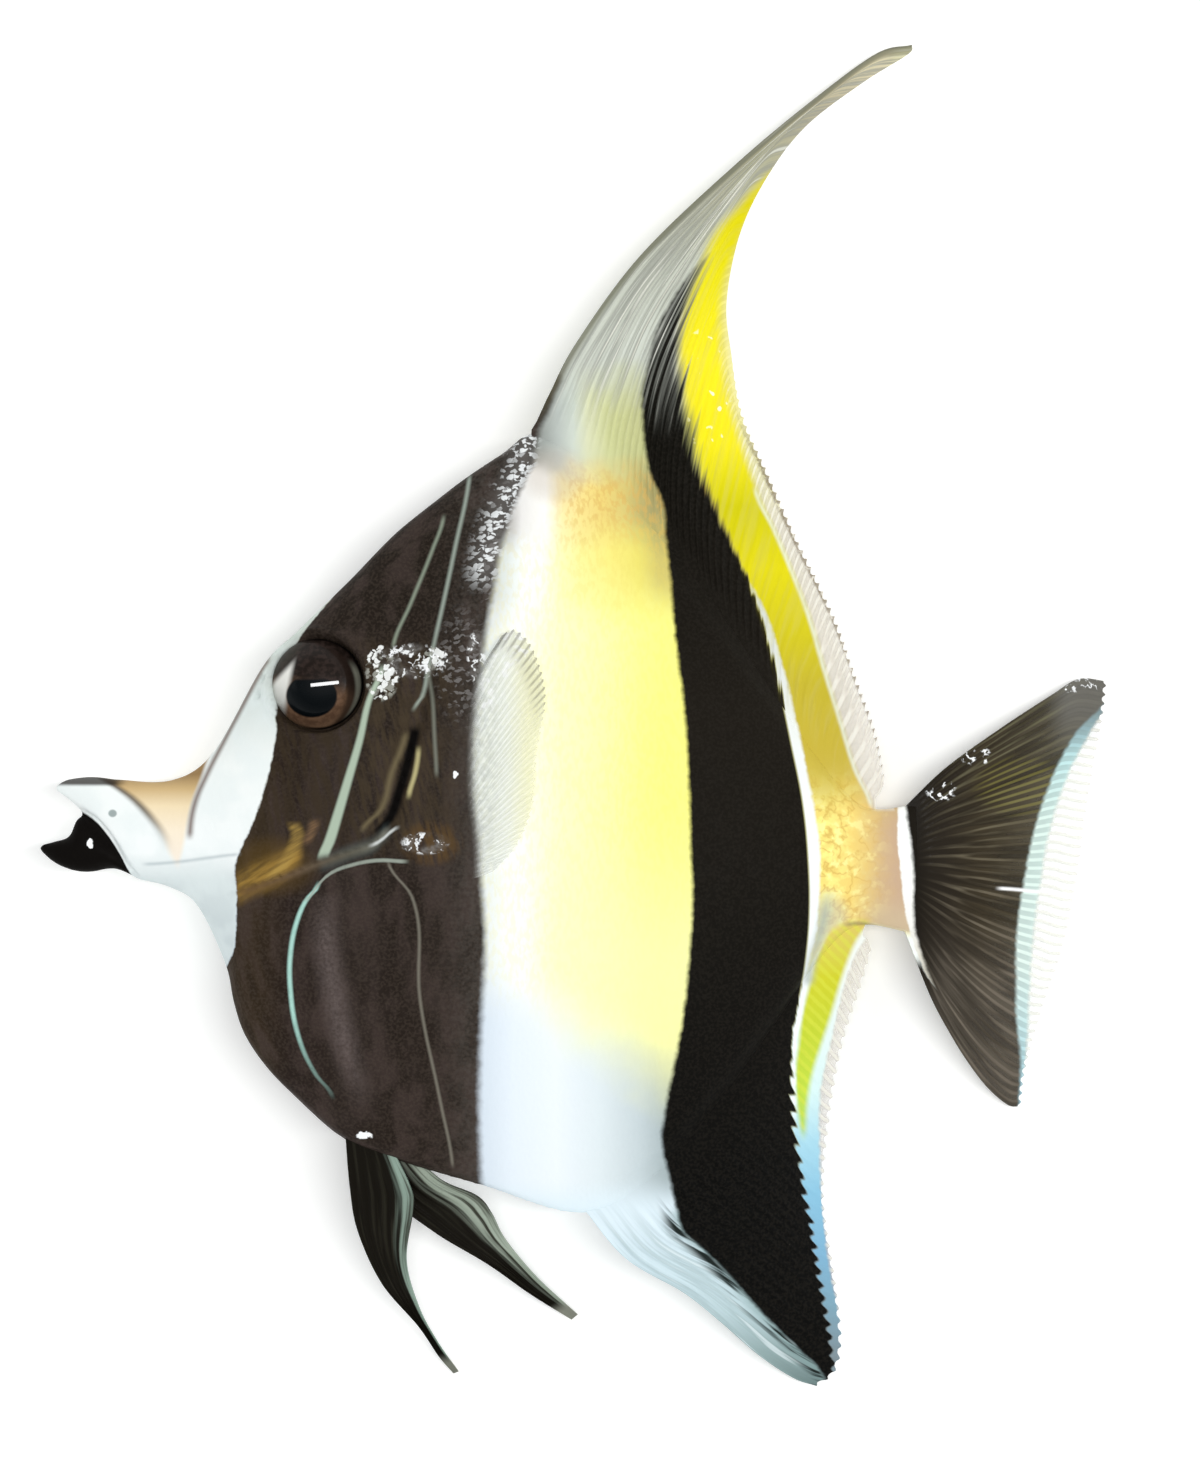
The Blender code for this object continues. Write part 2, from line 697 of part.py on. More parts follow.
def make_median_fins():
    """The dorsal streamer and fin, the anal fin and the tail fin."""

    def height(place, length, v, half):
        return drooped(middle_height(place.x), length, v, half)

    front = rim_root(DORSAL_ORIGIN + 0.1, DORSAL_SPLIT - 0.15, True, GAP)
    front = Path([STREAMER_LEAD[0], *front, SPLIT_RAY[0]])
    edges = (front, Path(STREAMER_MARGIN), Path(STREAMER_LEAD), Path(SPLIT_RAY))
    fin("dorsal_streamer", edges, 7, 16, "grey_fin", height)

    behind = [(x + GAP, y - GAP / 3) for x, y in SPLIT_RAY]
    back = rim_root(DORSAL_SPLIT + 0.15, DORSAL_END - 0.1, True, GAP)
    back = Path([behind[0], *back, DORSAL_REAR[0]])
    margin = Path([behind[-1], *DORSAL_MARGIN[1:]])
    edges = (back, margin, Path(behind), Path(DORSAL_REAR))
    fin("dorsal_fin", edges, 22, 8, "yellow_fin", height)

    base = rim_root(ANAL_ORIGIN + 0.2, ANAL_END - 0.1, False, GAP)
    base = Path([ANAL_LEAD[0], *base, ANAL_REAR[0]])
    edges = (base, Path(ANAL_MARGIN), Path(ANAL_LEAD), Path(ANAL_REAR))
    fin("anal_fin", edges, 22, 9, "black_fin", height)

    edges = (Path(TAIL_ROOT), Path(TAIL_MARGIN), Path(TAIL_UPPER), Path(TAIL_LOWER))
    fin("tail_fin", edges, 18, 8, "black_fin", height)


def make_pelvics():
    """The two belly fins, side by side at the root and both lying down on the floor."""
    sets = (
        ("pelvic_fin_left", 1, LEFT_PELVIC_ROOT, LEFT_PELVIC_LEAD, LEFT_PELVIC_REAR),
        ("pelvic_fin_right", -1, RIGHT_PELVIC_ROOT, RIGHT_PELVIC_LEAD, RIGHT_PELVIC_REAR),
    )
    for name, side, root, lead, rear in sets:
        level = MID_HEIGHT + side * PELVIC_OFFSET

        def height(_place, length, v, half, level=level):
            return drooped(level, length, v, half)

        base = rim_root(*root, False, GAP + 0.05)
        front, back = Path([base[0], *lead]), Path([base[-1], *rear])
        edges = (Path(base), Path((lead[-1], rear[-1])), front, back)
        fin(name, edges, 6, 10, "black_fin", height, PELVIC_HALF)


def main():
    for obj in list(bpy.data.objects):
        bpy.data.objects.remove(obj)
    whole = loft_body()
    skin = surface_finder(whole)
    add_orbits(whole, skin)
    add_nostrils(whole, skin)
    press_flat(whole)
    cut_pectoral_pocket(whole)
    cut_gill_covers(whole)
    part_body(whole)
    make_eyes()
    make_jaws()
    make_median_fins()
    make_pectorals(skin)
    make_pelvics()


main()
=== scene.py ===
# %% [markdown]
# # A moorish idol, life size
# The CAD part holds the fish as separate closed pieces: head, body, gill covers, jaws, eyes and
# fins. This lesson dresses it. One continuous skin goes over the flesh, each fin is drawn again
# with all its rays, and every colour is painted by nodes. All sizes below are millimetres, as
# measured on the fish, and the tail points along +X.

# %% Load the frame
import math

import bmesh
import bpy
import numpy as np
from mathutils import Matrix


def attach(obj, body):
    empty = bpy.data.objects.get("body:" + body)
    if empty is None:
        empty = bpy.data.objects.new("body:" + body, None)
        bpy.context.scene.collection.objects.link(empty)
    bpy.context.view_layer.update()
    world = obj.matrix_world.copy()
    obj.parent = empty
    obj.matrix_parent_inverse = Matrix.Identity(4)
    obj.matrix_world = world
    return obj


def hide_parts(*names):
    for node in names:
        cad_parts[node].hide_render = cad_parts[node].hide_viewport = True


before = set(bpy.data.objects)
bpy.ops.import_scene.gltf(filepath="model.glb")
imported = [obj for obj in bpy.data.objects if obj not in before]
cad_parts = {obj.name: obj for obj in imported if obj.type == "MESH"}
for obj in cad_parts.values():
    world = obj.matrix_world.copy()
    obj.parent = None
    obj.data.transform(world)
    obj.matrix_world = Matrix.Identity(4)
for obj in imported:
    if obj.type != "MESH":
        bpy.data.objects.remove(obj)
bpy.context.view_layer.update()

MM = 0.001
print("solids in the part:", ", ".join(sorted(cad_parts)))

# %% [markdown]
# ## Smooth lines
# Most of the fish is drawn from a few measured lines, such as its outline and the edges of its
# fins. A Hermite spline passes through every measured point, and numpy lets us read it at
# thousands of places at once. We read each line by its share of the length, from 0 to 1, so
# that points along a fin's margin are evenly spaced.


# %% Lines and smooth steps
def smooth_rows(rows, t):
    """Rows of numbers, read at positions t along a smooth spline through them."""
    rows = np.asarray(rows, float)
    last = len(rows) - 1
    padded = np.vstack([2 * rows[0] - rows[1], rows, 2 * rows[-1] - rows[-2]])
    i = np.clip(np.floor(t).astype(int), 0, last - 1)
    f = (np.asarray(t, float) - i)[..., None]
    before, a, b, after = padded[i], padded[i + 1], padded[i + 2], padded[i + 3]
    start, end = (b - before) / 2, (after - a) / 2
    return (
        a * (2 * f**3 - 3 * f**2 + 1)
        + start * (f**3 - 2 * f**2 + f)
        + b * (3 * f**2 - 2 * f**3)
        + end * (f**3 - f**2)
    )


def line_reader(points):
    """A function that gives the place on a line at each share of its length."""
    fine = smooth_rows(points, np.linspace(0, len(points) - 1, 20 * len(points)))
    lengths = np.concatenate([[0], np.cumsum(np.linalg.norm(np.diff(fine, axis=0), axis=1))])

    def read(share):
        at = np.asarray(share) * lengths[-1]
        return np.stack([np.interp(at, lengths, fine[:, k]) for k in range(fine.shape[1])], -1)

    return read


def smoothstep(x):
    x = np.clip(x, 0, 1)
    return x * x * (3 - 2 * x)


def distance_to(points, x, y):
    """Signed distance in the XY plane to a line: positive to the right of its direction."""
    best = np.full(x.shape, 1e9)
    signed = np.zeros(x.shape)
    fine = line_reader(points)(np.linspace(0, 1, 60))
    for a, b in zip(fine, fine[1:]):
        along = b - a
        share = np.clip(((x - a[0]) * along[0] + (y - a[1]) * along[1]) / (along @ along), 0, 1)
        away_x = x - a[0] - share * along[0]
        away_y = y - a[1] - share * along[1]
        far = np.hypot(away_x, away_y)
        closer = far < best
        turn = np.sign(along[1] * away_x - along[0] * away_y)
        signed = np.where(closer, far * turn, signed)
        best = np.where(closer, far, best)
    return signed


print("a share of 0.5 of a straight line:", line_reader([(0, 0), (10, 0)])(0.5))

# %% [markdown]
# ## The body's measures
# A reef fish's body is easiest to describe as a row of chords from the back to the belly, each
# with its own thickness. The same chords shape the CAD solids, so the skin lies on them. Where
# a fin grows out, the section runs to a thin wedge. Over the brow and the breast it is rounder.

# %% Body, jaws and middle plane
MID_HEIGHT = 6.8  # of the fish's middle plane above the floor
TAIL_SAG = 1.3  # how far the tail's root sinks below it
SAG_FROM, SAG_TO = 10.0, 31.5  # the places along X between which it sinks
# Each row: back point, belly point, half thickness, bluntness of the upper and lower end.
BODY_RIBS = [
    (-44.2, -6.1, -41.7, -15.6, 2.5, 2.4, 2.0), (-38.6, -6.2, -38.6, -16.4, 3.1, 2.4, 2.0),
    (-34.5, -3.5, -36.0, -18.2, 3.9, 2.6, 1.9), (-29.7, 4.8, -33.4, -23.7, 5.2, 3.0, 1.8),
    (-26.4, 8.1, -32.6, -27.4, 5.9, 3.0, 1.8), (-21.6, 12.8, -31.6, -30.4, 6.5, 2.5, 1.8),
    (-16.9, 17.6, -29.6, -33.4, 6.9, 2.1, 1.8), (-12.1, 21.2, -26.8, -36.3, 7.15, 1.9, 1.8),
    (-7.3, 24.1, -22.3, -40.2, 7.3, 1.7, 1.7), (-3.7, 26.6, -16.9, -42.4, 7.3, 1.5, 1.6),
    (1.2, 24.0, -9.2, -44.7, 7.15, 1.4, 1.5), (6.9, 18.5, 0.9, -47.4, 6.7, 1.4, 1.4),
    (12.6, 11.5, 8.3, -43.2, 6.1, 1.4, 1.4), (17.5, 4.1, 13.7, -36.6, 5.3, 1.4, 1.4),
    (21.9, -2.6, 18.5, -29.9, 4.3, 1.5, 1.5), (25.4, -7.1, 22.9, -23.5, 3.4, 1.6, 1.6),
    (28.1, -8.9, 26.7, -20.1, 2.6, 1.8, 1.8), (32.3, -8.5, 32.3, -20.9, 1.3, 2.0, 2.0),
]
UPPER_JAW_RIBS = [
    (-49.7, -6.9, -49.5, -7.2, 0.5, 2.0, 2.0), (-48.6, -6.2, -48.3, -8.0, 1.1, 2.2, 2.0),
    (-46.8, -5.9, -46.9, -9.3, 1.7, 2.2, 2.0), (-45.6, -5.9, -45.1, -11.5, 2.1, 2.3, 2.0),
    (-44.2, -6.1, -41.9, -15.5, 2.5, 2.4, 2.0), (-41.5, -6.7, -40.0, -15.0, 2.6, 2.4, 2.0),
]
LOWER_JAW_RIBS = [
    (-51.1, -12.4, -51.0, -12.9, 0.5, 2.0, 2.0), (-49.6, -12.0, -49.5, -14.1, 1.3, 2.0, 2.0),
    (-48.2, -11.5, -47.7, -14.8, 1.7, 2.0, 2.0), (-47.3, -9.7, -46.1, -14.9, 1.9, 2.0, 2.0),
    (-45.6, -11.0, -44.6, -14.6, 2.0, 2.0, 2.0), (-43.6, -13.0, -43.4, -14.7, 1.9, 2.0, 2.0),
    (-41.6, -14.6, -41.5, -15.6, 1.6, 2.0, 2.0),
]


def middle_height(x):
    """Height of the fish's middle plane, which sags towards the tail."""
    return MID_HEIGHT - TAIL_SAG * smoothstep((x - SAG_FROM) / (SAG_TO - SAG_FROM))


def chord_line(first, last, upper, out):
    """The body's edge between two ribs, moved outwards, as a list of points."""
    rows = smooth_rows(BODY_RIBS, np.linspace(first, last, 24))
    top, bottom = rows[:, 0:2], rows[:, 2:4]
    edge, inner = (top, bottom) if upper else (bottom, top)
    away = edge - inner
    return [tuple(p) for p in edge + out * away / np.linalg.norm(away, axis=1)[:, None]]


print("body ribs:", len(BODY_RIBS))

# %% [markdown]
# ## A shell round the ribs
# A shell could be lofted rib by rib. Here it starts as a flat grid instead: one way runs along
# the fish, the other goes once round it, and numpy wraps all the vertices in one step. Each
# section swells from a thin rim to its full thickness, and the rim is thickest where the pelvic
# fins grow.

# %% Wrap a flat grid round a row of ribs
RIM_HALF = 0.65  # half thickness of the rim that the fins grow from
PELVIC_RIM_EXTRA = 0.85  # more of it round the pelvic fins
PELVIC_RIB = 8.4  # where they grow, counted in ribs
BACK_FIN_FROM, BELLY_FIN_FROM, FINS_TO = 8.6, 10.6, 15.6  # the ribs with a fin
WEDGE_DEPTH = 0.11  # the share of a chord where the section runs to a wedge under a fin
NAPE_FROM, NAPE_TO = 6.3, 8.3  # the ribs in front of the dorsal fin
NAPE_GROWTH = 0.8  # what the remesh below takes off the thin rim there


def section(t, across, row, rim_extra, fin_blend):
    """Half thickness of the shell at each share of the chords."""
    depth = np.minimum(2 * across, 2 - 2 * across)
    blunt = np.where(across < 0.5, row[:, 5], row[:, 6])
    swell = (1 - (1 - depth) ** blunt) ** (1 / blunt)
    starts = np.where(across < 0.5, BACK_FIN_FROM, BELLY_FIN_FROM)
    finned = fin_blend * smoothstep(t - starts) * (1 - smoothstep(t - FINS_TO))
    swell *= 1 - finned * (1 - smoothstep(depth / WEDGE_DEPTH))
    pelvic = rim_extra * np.exp(-((t - PELVIC_RIB) ** 2))
    edge = np.where(across < 0.5, RIM_HALF, RIM_HALF + pelvic)
    half = row[:, 4]
    edge = np.minimum(edge, half) * smoothstep(depth * 60)
    return edge + (half - edge) * swell


def wrapped_shell(ribs, along, around, rim_extra, fin_blend=0.0):
    """A closed shell: a flat grid wrapped round a row of ribs."""
    bm = bmesh.new()
    bmesh.ops.create_grid(bm, x_segments=along, y_segments=around, size=1.0)
    flat = np.array([v.co[:2] for v in bm.verts])
    t = (flat[:, 0] + 1) / 2 * (len(ribs) - 1)
    row = smooth_rows(ribs, t)
    turn = (flat[:, 1] + 1) * math.pi
    across = (1 - np.cos(turn)) / 2
    side = np.where(np.sin(turn) >= 0, 1.0, -1.0)
    nape = smoothstep((t - NAPE_FROM) / 1.7) * (1 - smoothstep((t - NAPE_TO) / 0.9))
    grown = fin_blend * NAPE_GROWTH * nape * (1 - across) ** 8
    chord = np.stack([row[:, 2] - row[:, 0], row[:, 3] - row[:, 1]], 1)
    outward = -chord / np.linalg.norm(chord, axis=1)[:, None] * grown[:, None]
    x = row[:, 0] + chord[:, 0] * across + outward[:, 0]
    y = row[:, 1] + chord[:, 1] * across + outward[:, 1]
    z = middle_height(x) + side * section(t, across, row, rim_extra, fin_blend)
    for vert, place in zip(bm.verts, np.stack([x, y, z], 1) * MM):
        vert.co = place
    bmesh.ops.remove_doubles(bm, verts=bm.verts, dist=1e-6)
    bmesh.ops.holes_fill(bm, edges=bm.edges, sides=0)
    bmesh.ops.recalc_face_normals(bm, faces=bm.faces)
    return bm


shells = [
    wrapped_shell(BODY_RIBS, 260, 240, PELVIC_RIM_EXTRA, 1.0),
    wrapped_shell(UPPER_JAW_RIBS, 40, 60, 0.0),
    wrapped_shell(LOWER_JAW_RIBS, 50, 60, 0.0),
]
print("faces of each shell:", [len(bm.faces) for bm in shells])

# %% [markdown]
# ## One skin
# On a real fish the skin runs without a break from the lips to the tail. We could sculpt it in
# one go, but three simple shells are easier to get right: the body and the two jaws. The Remesh
# modifier in Voxel mode melts them into one closed surface of small even squares, and a Smooth
# modifier takes off the marks of the voxels.

# %% Melt the three shells into one
SKIN_VOXEL = 0.325  # keeps the skin under 200,000 triangles


def join_shells(shells):
    whole = bmesh.new()
    for bm in shells:
        part = bpy.data.meshes.new("shell")
        bm.to_mesh(part)
        bm.free()
        whole.from_mesh(part)
        bpy.data.meshes.remove(part)
    return whole


def applied(obj):
    """Bakes an object's modifiers into its mesh."""
    graph = bpy.context.evaluated_depsgraph_get()
    mesh = bpy.data.meshes.new_from_object(obj.evaluated_get(graph))
    obj.modifiers.clear()
    obj.data = mesh


def new_object(name, bm):
    mesh = bpy.data.meshes.new(name)
    bm.to_mesh(mesh)
    bm.free()
    obj = bpy.data.objects.new(name, mesh)
    bpy.context.scene.collection.objects.link(obj)
    return obj


skin = new_object("fish_skin", join_shells(shells))
remesh = skin.modifiers.new("melt", "REMESH")
remesh.mode = "VOXEL"
remesh.voxel_size = SKIN_VOXEL * MM
relax = skin.modifiers.new("relax", "SMOOTH")
relax.factor = 0.5
relax.iterations = 5
applied(skin)
print("skin faces:", len(skin.data.polygons))

# %% [markdown]
# ## Lines in the skin
# The small forms of a fish's head follow lines: the edge of the gill cover, the step behind the
# shoulder, the seam down the flank, the closed corner of the mouth and the fold of the throat.
# They are read off the fish here, and both the relief and the paint below use them.

# %% The lines that the relief follows
EYE_CENTRE = (-24.4, 2.9)
EYE_RADIUS = 4.3
EYE_OFFSET = 3.7  # of the eye's middle from the fish's middle plane
GILL_EDGE = [
    (-13.4, 9.0), (-13.7, 4.6), (-14.1, 2.3), (-15.3, -2.5), (-16.4, -6.6), (-17.6, -10.0),
    (-19.8, -12.1), (-24.0, -13.6), (-28.0, -15.2), (-31.6, -16.4), (-34.0, -17.2),
]
SHOULDER_EDGE = [
    (-16.0, -13.7), (-18.6, -13.6), (-20.9, -14.0), (-23.0, -14.8), (-24.2, -15.9), (-25.3, -17.3),
    (-26.1, -19.0), (-26.8, -22.0), (-26.9, -25.8), (-26.1, -30.6), (-24.6, -33.9), (-23.1, -35.9),
]
FLANK_SEAM = [(-17.6, -13.8), (-15.3, -17.3), (-14.7, -26.7), (-12.9, -36.3), (-11.8, -42.6)]
MOUTH_LINE = [
    (-47.0, -9.2), (-45.7, -10.0), (-44.6, -11.2), (-43.7, -12.5), (-43.0, -13.7), (-41.9, -15.3)
]
THROAT_FOLD = [(-41.3, -14.4), (-38.0, -14.3), (-34.5, -13.7), (-32.0, -13.2)]
CHEEK_RIDGE = [(-16.0, -1.8), (-17.3, -5.5), (-18.2, -8.7), (-20.0, -10.8)]
# Each fold: its line, its height and its half width.
FOLDS = (
    (FLANK_SEAM, -0.12, 0.3),
    (MOUTH_LINE, -0.55, 0.28),
    (THROAT_FOLD, -0.12, 0.3),
    (CHEEK_RIDGE, 0.12, 0.35),
)
# Each nostril: its place and its radius.
NOSTRILS = (((-30.2, 1.9), 0.36), ((-29.6, 3.3), 0.28))
NOSTRIL_DEPTH = 0.7
print("folds in the skin:", len(FOLDS))

# %% [markdown]
# ## Relief in the skin
# These forms could be carved with Booleans, but skin has no knife edges. So each vertex is
# pushed in or out along its normal by a smooth function of its distance to a line: the bony rim
# and socket of the eye, the edge of the gill cover, the shoulder, the folds and the nostrils.
# The under side of the fish is pressed flat where it rests.


# %% Push the small forms in and out
def near(distance, width):
    return np.exp(-((distance / width) ** 2))


def eye_relief(x, y):
    """The bony rim round the eye and the socket inside it."""
    from_eye = np.hypot(x - EYE_CENTRE[0], y - EYE_CENTRE[1])
    rim = 0.4 * near(from_eye - EYE_RADIUS - 0.65, 0.4)
    return rim - 2.6 * smoothstep((EYE_RADIUS + 0.45 - from_eye) / 0.6)


def gill_relief(x, y):
    """The gill cover's edge stands out, the skin behind it dips, and the shoulder bulges."""
    gill = distance_to(GILL_EDGE, x, y)
    ends = smoothstep((9.5 - y) / 5) * smoothstep((x + 34.5) / 6)
    lift = ends * 0.3 * np.exp(-np.abs(gill) / 1.6) * (gill > 0)
    lift -= ends * 0.5 * np.exp(-np.abs(gill) / 0.9) * (gill <= 0)
    shoulder = distance_to(SHOULDER_EDGE, x, y)
    fade = smoothstep((y + 37) / 5)
    return lift + fade * 0.3 * np.exp(-np.abs(shoulder) / 2.6) * (shoulder < 0)


def relief(x, y):
    """How far the skin stands out of the plain body at each place."""
    lift = eye_relief(x, y) + gill_relief(x, y)
    for points, height, width in FOLDS:
        lift += height * near(distance_to(points, x, y), width)
    for place, radius in NOSTRILS:
        lift -= NOSTRIL_DEPTH * near(np.hypot(x - place[0], y - place[1]), radius)
    return lift


def push_skin(obj):
    """Moves each vertex along its normal, and least where the skin turns over an edge."""
    count = len(obj.data.vertices)
    places, normals = np.empty(count * 3), np.empty(count * 3)
    obj.data.vertices.foreach_get("co", places)
    obj.data.vertex_normals.foreach_get("vector", normals)
    places, normals = places.reshape(-1, 3) / MM, normals.reshape(-1, 3)
    facing = smoothstep((np.abs(normals[:, 2]) - 0.2) / 0.5)
    lift = relief(places[:, 0], places[:, 1]) * facing
    places += normals * lift[:, None]
    places[:, 2] = np.maximum(places[:, 2], 0.0)
    obj.data.vertices.foreach_set("co", (places * MM).ravel())
    obj.data.update()


push_skin(skin)
skin.data.shade_smooth()
ends = (skin.bound_box[0], skin.bound_box[6])
print("skin box in mm:", [round(v / MM, 1) for corner in ends for v in corner])

# %% [markdown]
# ## The rays of a fin
# A fin is a thin sheet held open by rays. On the real fish each soft ray parts in two on its
# way out, so a profile across the fin switches to twice as many ridges past the fork. Out of
# water the fins sink to the floor, so the height falls along each ray.

# %% Ray profile and droop
ROOT_HALF, MARGIN_HALF = 0.62, 0.14  # half thickness of a fin at its root and its margin
DROOP_LENGTH, DROOP_CURVE = 9.0, 1.6
# Each kind of fin: the number of its rays, and the share of a ray where it forks (2 is never).
FIN_RAYS = {
    "dorsal": (46, 0.7), "anal": (36, 2.0), "tail": (24, 0.3), "pectoral": (18, 0.45), "pelvic": (6, 0.5)
}


def ray_profile(u, v, rays, fork):
    """0 between rays and 1 on a ray, across (u) and along (v) a fin."""
    single = (0.5 + 0.5 * np.cos(2 * np.pi * rays * u)) ** 2
    double = (0.5 - 0.5 * np.cos(4 * np.pi * rays * u)) ** 2
    share = smoothstep((v - fork) / 0.25)
    return single * (1 - share) + double * share


def sunk(level, length, v, half):
    """Height of a ray's middle, which falls towards the floor along a long ray."""
    drop = (level - half) * (1 - np.exp(-((length / DROOP_LENGTH) ** 2)))
    return np.maximum(level - drop * v**DROOP_CURVE, half)


def lying(x, y, length, v, half):
    return sunk(middle_height(x), length, v, half)


print("rays of each fin:", {kind: rays for kind, (rays, fork) in FIN_RAYS.items()})

# %% [markdown]
# ## One function for every fin
# A fin is drawn between four lines: its root on the body, its leading edge, its hind edge and
# its free margin. A Coons patch fills the space between four such lines. We start from a flat
# grid, extrude it into a slab so that it has two sides, and move its vertices on to the patch.
# A ridge follows each ray, the membrane between two rays is thinner, and the margin is notched
# between the ray tips. The grid's own coordinates are kept as a UV map, which lets the colours
# follow the rays.


# %% Draw a fin
def flat_slab(columns, rows):
    """A flat grid with two sides, at -1 to 1 in X and Y."""
    bm = bmesh.new()
    bmesh.ops.create_grid(bm, x_segments=columns, y_segments=rows, size=1.0)
    over = bmesh.ops.extrude_face_region(bm, geom=bm.faces[:], use_keep_orig=True)
    raised = [g for g in over["geom"] if isinstance(g, bmesh.types.BMVert)]
    bmesh.ops.translate(bm, verts=raised, vec=(0, 0, 1))
    return bm


def on_patch(lines, u, v):
    """Places on the Coons patch between a root, a margin, a leading and a hind edge."""
    root, margin, lead, rear = lines
    uu, vv = u[:, None], v[:, None]
    low = root(0) * (1 - uu) + root(1) * uu
    high = margin(0) * (1 - uu) + margin(1) * uu
    sides = lead(v) * (1 - uu) + rear(v) * uu
    return sides + (root(u) - low) * (1 - vv) + (margin(u) - high) * vv


def keep_rays(fin, u, v):
    """Keeps the places across and along a fin as its UV map."""
    corners_of = np.empty(len(fin.data.loops), dtype=int)
    fin.data.loops.foreach_get("vertex_index", corners_of)
    layer = fin.data.uv_layers.new(name="rays")
    layer.uv.foreach_set("vector", np.stack([u, v], 1)[corners_of].ravel())


def draw_fin(
    name, lines, kind, grid, height, rise, notch=0.0, whole=0.0, halves=(ROOT_HALF, MARGIN_HALF)
):
    """A closed fin between its root, margin, leading edge and hind edge.

    Rays rise out of the membrane. The margin is notched between them by a given depth, but not
    over the share of rays in front called whole.
    """
    rays, fork = FIN_RAYS[kind]
    lines = [line_reader(points) for points in lines]
    root, margin = lines[:2]
    bm = flat_slab(*grid)
    flat = np.array([v.co for v in bm.verts])
    u, v = (flat[:, 0] + 1) / 2, (flat[:, 1] + 1) / 2
    side = np.where(flat[:, 2] > 0.5, 1.0, -1.0)
    length = np.linalg.norm(margin(u) - root(u), axis=1)
    grown = smoothstep((v * length - 1.5) / 4)
    profile = ray_profile(u, v, rays, fork) * grown
    cut = notch * (1 - profile) * smoothstep((v - 0.7) / 0.3) * smoothstep((u - whole) / 0.1 + 1)
    v = v * (1 - np.minimum(cut / np.maximum(length, 1), 0.5))
    place = on_patch(lines, u, v)
    half = halves[0] + (halves[1] - halves[0]) * v**0.6
    middle = height(place[:, 0], place[:, 1], length, v, half)
    thick = half * (1 - 0.25 * grown * (1 - profile)) + rise * profile * (1 - 0.6 * v)
    z = np.maximum(middle + side * thick, 0.0)
    for vert, here in zip(bm.verts, np.stack([place[:, 0], place[:, 1], z], 1) * MM):
        vert.co = here
    bmesh.ops.recalc_face_normals(bm, faces=bm.faces)
    fin = new_object(name, bm)
    keep_rays(fin, u, v)
    fin.data.shade_smooth()
    print(name, "faces:", len(fin.data.polygons))
    return fin


# %% [markdown]
# ## The dorsal, anal and tail fins
# The dorsal fin's first rays sweep up into the long streamer, and the rest stand closer
# together down to the tail. The tail's rays fork early, which doubles the fine lines near its
# margin. Each root starts just inside the body, so no gap opens where it grows out.

# %% Fins on the middle line
STREAMER_LEAD = [
    (-4.4, 26.8), (-3.9, 27.8), (-3.4, 28.9), (-2.6, 30.6), (-0.1, 35.4), (6.0, 43.8), (15.2, 52.8),
    (23.0, 59.5), (28.9, 63.9), (32.3, 64.8),
]
DORSAL_MARGIN = [
    (32.3, 64.8), (31.9, 63.9), (27.6, 61.2), (22.1, 57.0), (18.4, 52.2), (15.7, 46.6), (14.4, 40.1),
    (14.8, 35.2), (16.0, 29.0), (18.5, 23.2), (21.3, 16.9), (24.7, 9.8), (27.0, 3.3), (28.6, -1.4),
    (29.4, -6.0),
]
DORSAL_REAR = [(28.4, -8.2), (29.0, -7.2), (29.4, -6.0)]
ANAL_LEAD = [(4.5, -51.6), (10.1, -55.1), (13.7, -58.1), (17.4, -61.5), (20.8, -63.9), (23.1, -64.8)]
ANAL_MARGIN = [
    (23.1, -64.8), (24.9, -63.4), (25.5, -60.2), (24.9, -54.4), (23.8, -46.9), (24.2, -39.5),
    (25.4, -32.0), (27.3, -25.6), (28.1, -22.6),
]
ANAL_REAR = [(27.2, -20.8), (27.7, -21.4), (28.1, -22.6)]
TAIL_ROOT = [(31.2, -8.8), (31.6, -14.7), (31.2, -20.6)]
TAIL_UPPER = [(31.2, -8.8), (35.1, -5.1), (40.3, -1.4), (45.5, 1.9), (48.3, 3.5), (51.1, 3.3)]
TAIL_MARGIN = [
    (51.1, 3.3), (50.7, -0.4), (49.3, -8.2), (48.2, -16.0), (47.0, -22.0), (44.7, -29.0), (43.3, -34.2),
    (42.8, -37.8),
]
TAIL_LOWER = [
    (31.2, -20.6), (33.7, -26.8), (35.8, -30.7), (37.6, -33.5), (39.5, -35.9), (41.5, -37.6),
    (42.8, -37.8),
]
INSIDE = -1.2  # how far a root starts inside the body's edge

dorsal_root = chord_line(9.05, 16.2, True, INSIDE)
dorsal_lead = [dorsal_root[0]] + STREAMER_LEAD
dorsal_rear = [dorsal_root[-1]] + DORSAL_REAR
dorsal_lines = (dorsal_root, DORSAL_MARGIN, dorsal_lead, dorsal_rear)
dorsal = draw_fin("dorsal_fin_skin", dorsal_lines, "dorsal", (368, 120), lying, 0.09, 0.55, 0.55)
anal_root = chord_line(10.9, 16.2, False, INSIDE)
anal_lines = (anal_root, ANAL_MARGIN, [anal_root[0]] + ANAL_LEAD, [anal_root[-1]] + ANAL_REAR)
anal = draw_fin("anal_fin_skin", anal_lines, "anal", (288, 80), lying, 0.09, 0.35)
tail_lines = (TAIL_ROOT, TAIL_MARGIN, TAIL_UPPER, TAIL_LOWER)
tail = draw_fin("tail_fin_skin", tail_lines, "tail", (384, 90), lying, 0.06, 0.3)

# %% [markdown]
# ## The pectoral fins
# The left pectoral fin lies on the flank, and the right one is pressed flat under the fish. The
# flank's height under the left one could be read point by point, but a smooth surface fitted to
# the skin's own vertices keeps the fin free of their small bumps.

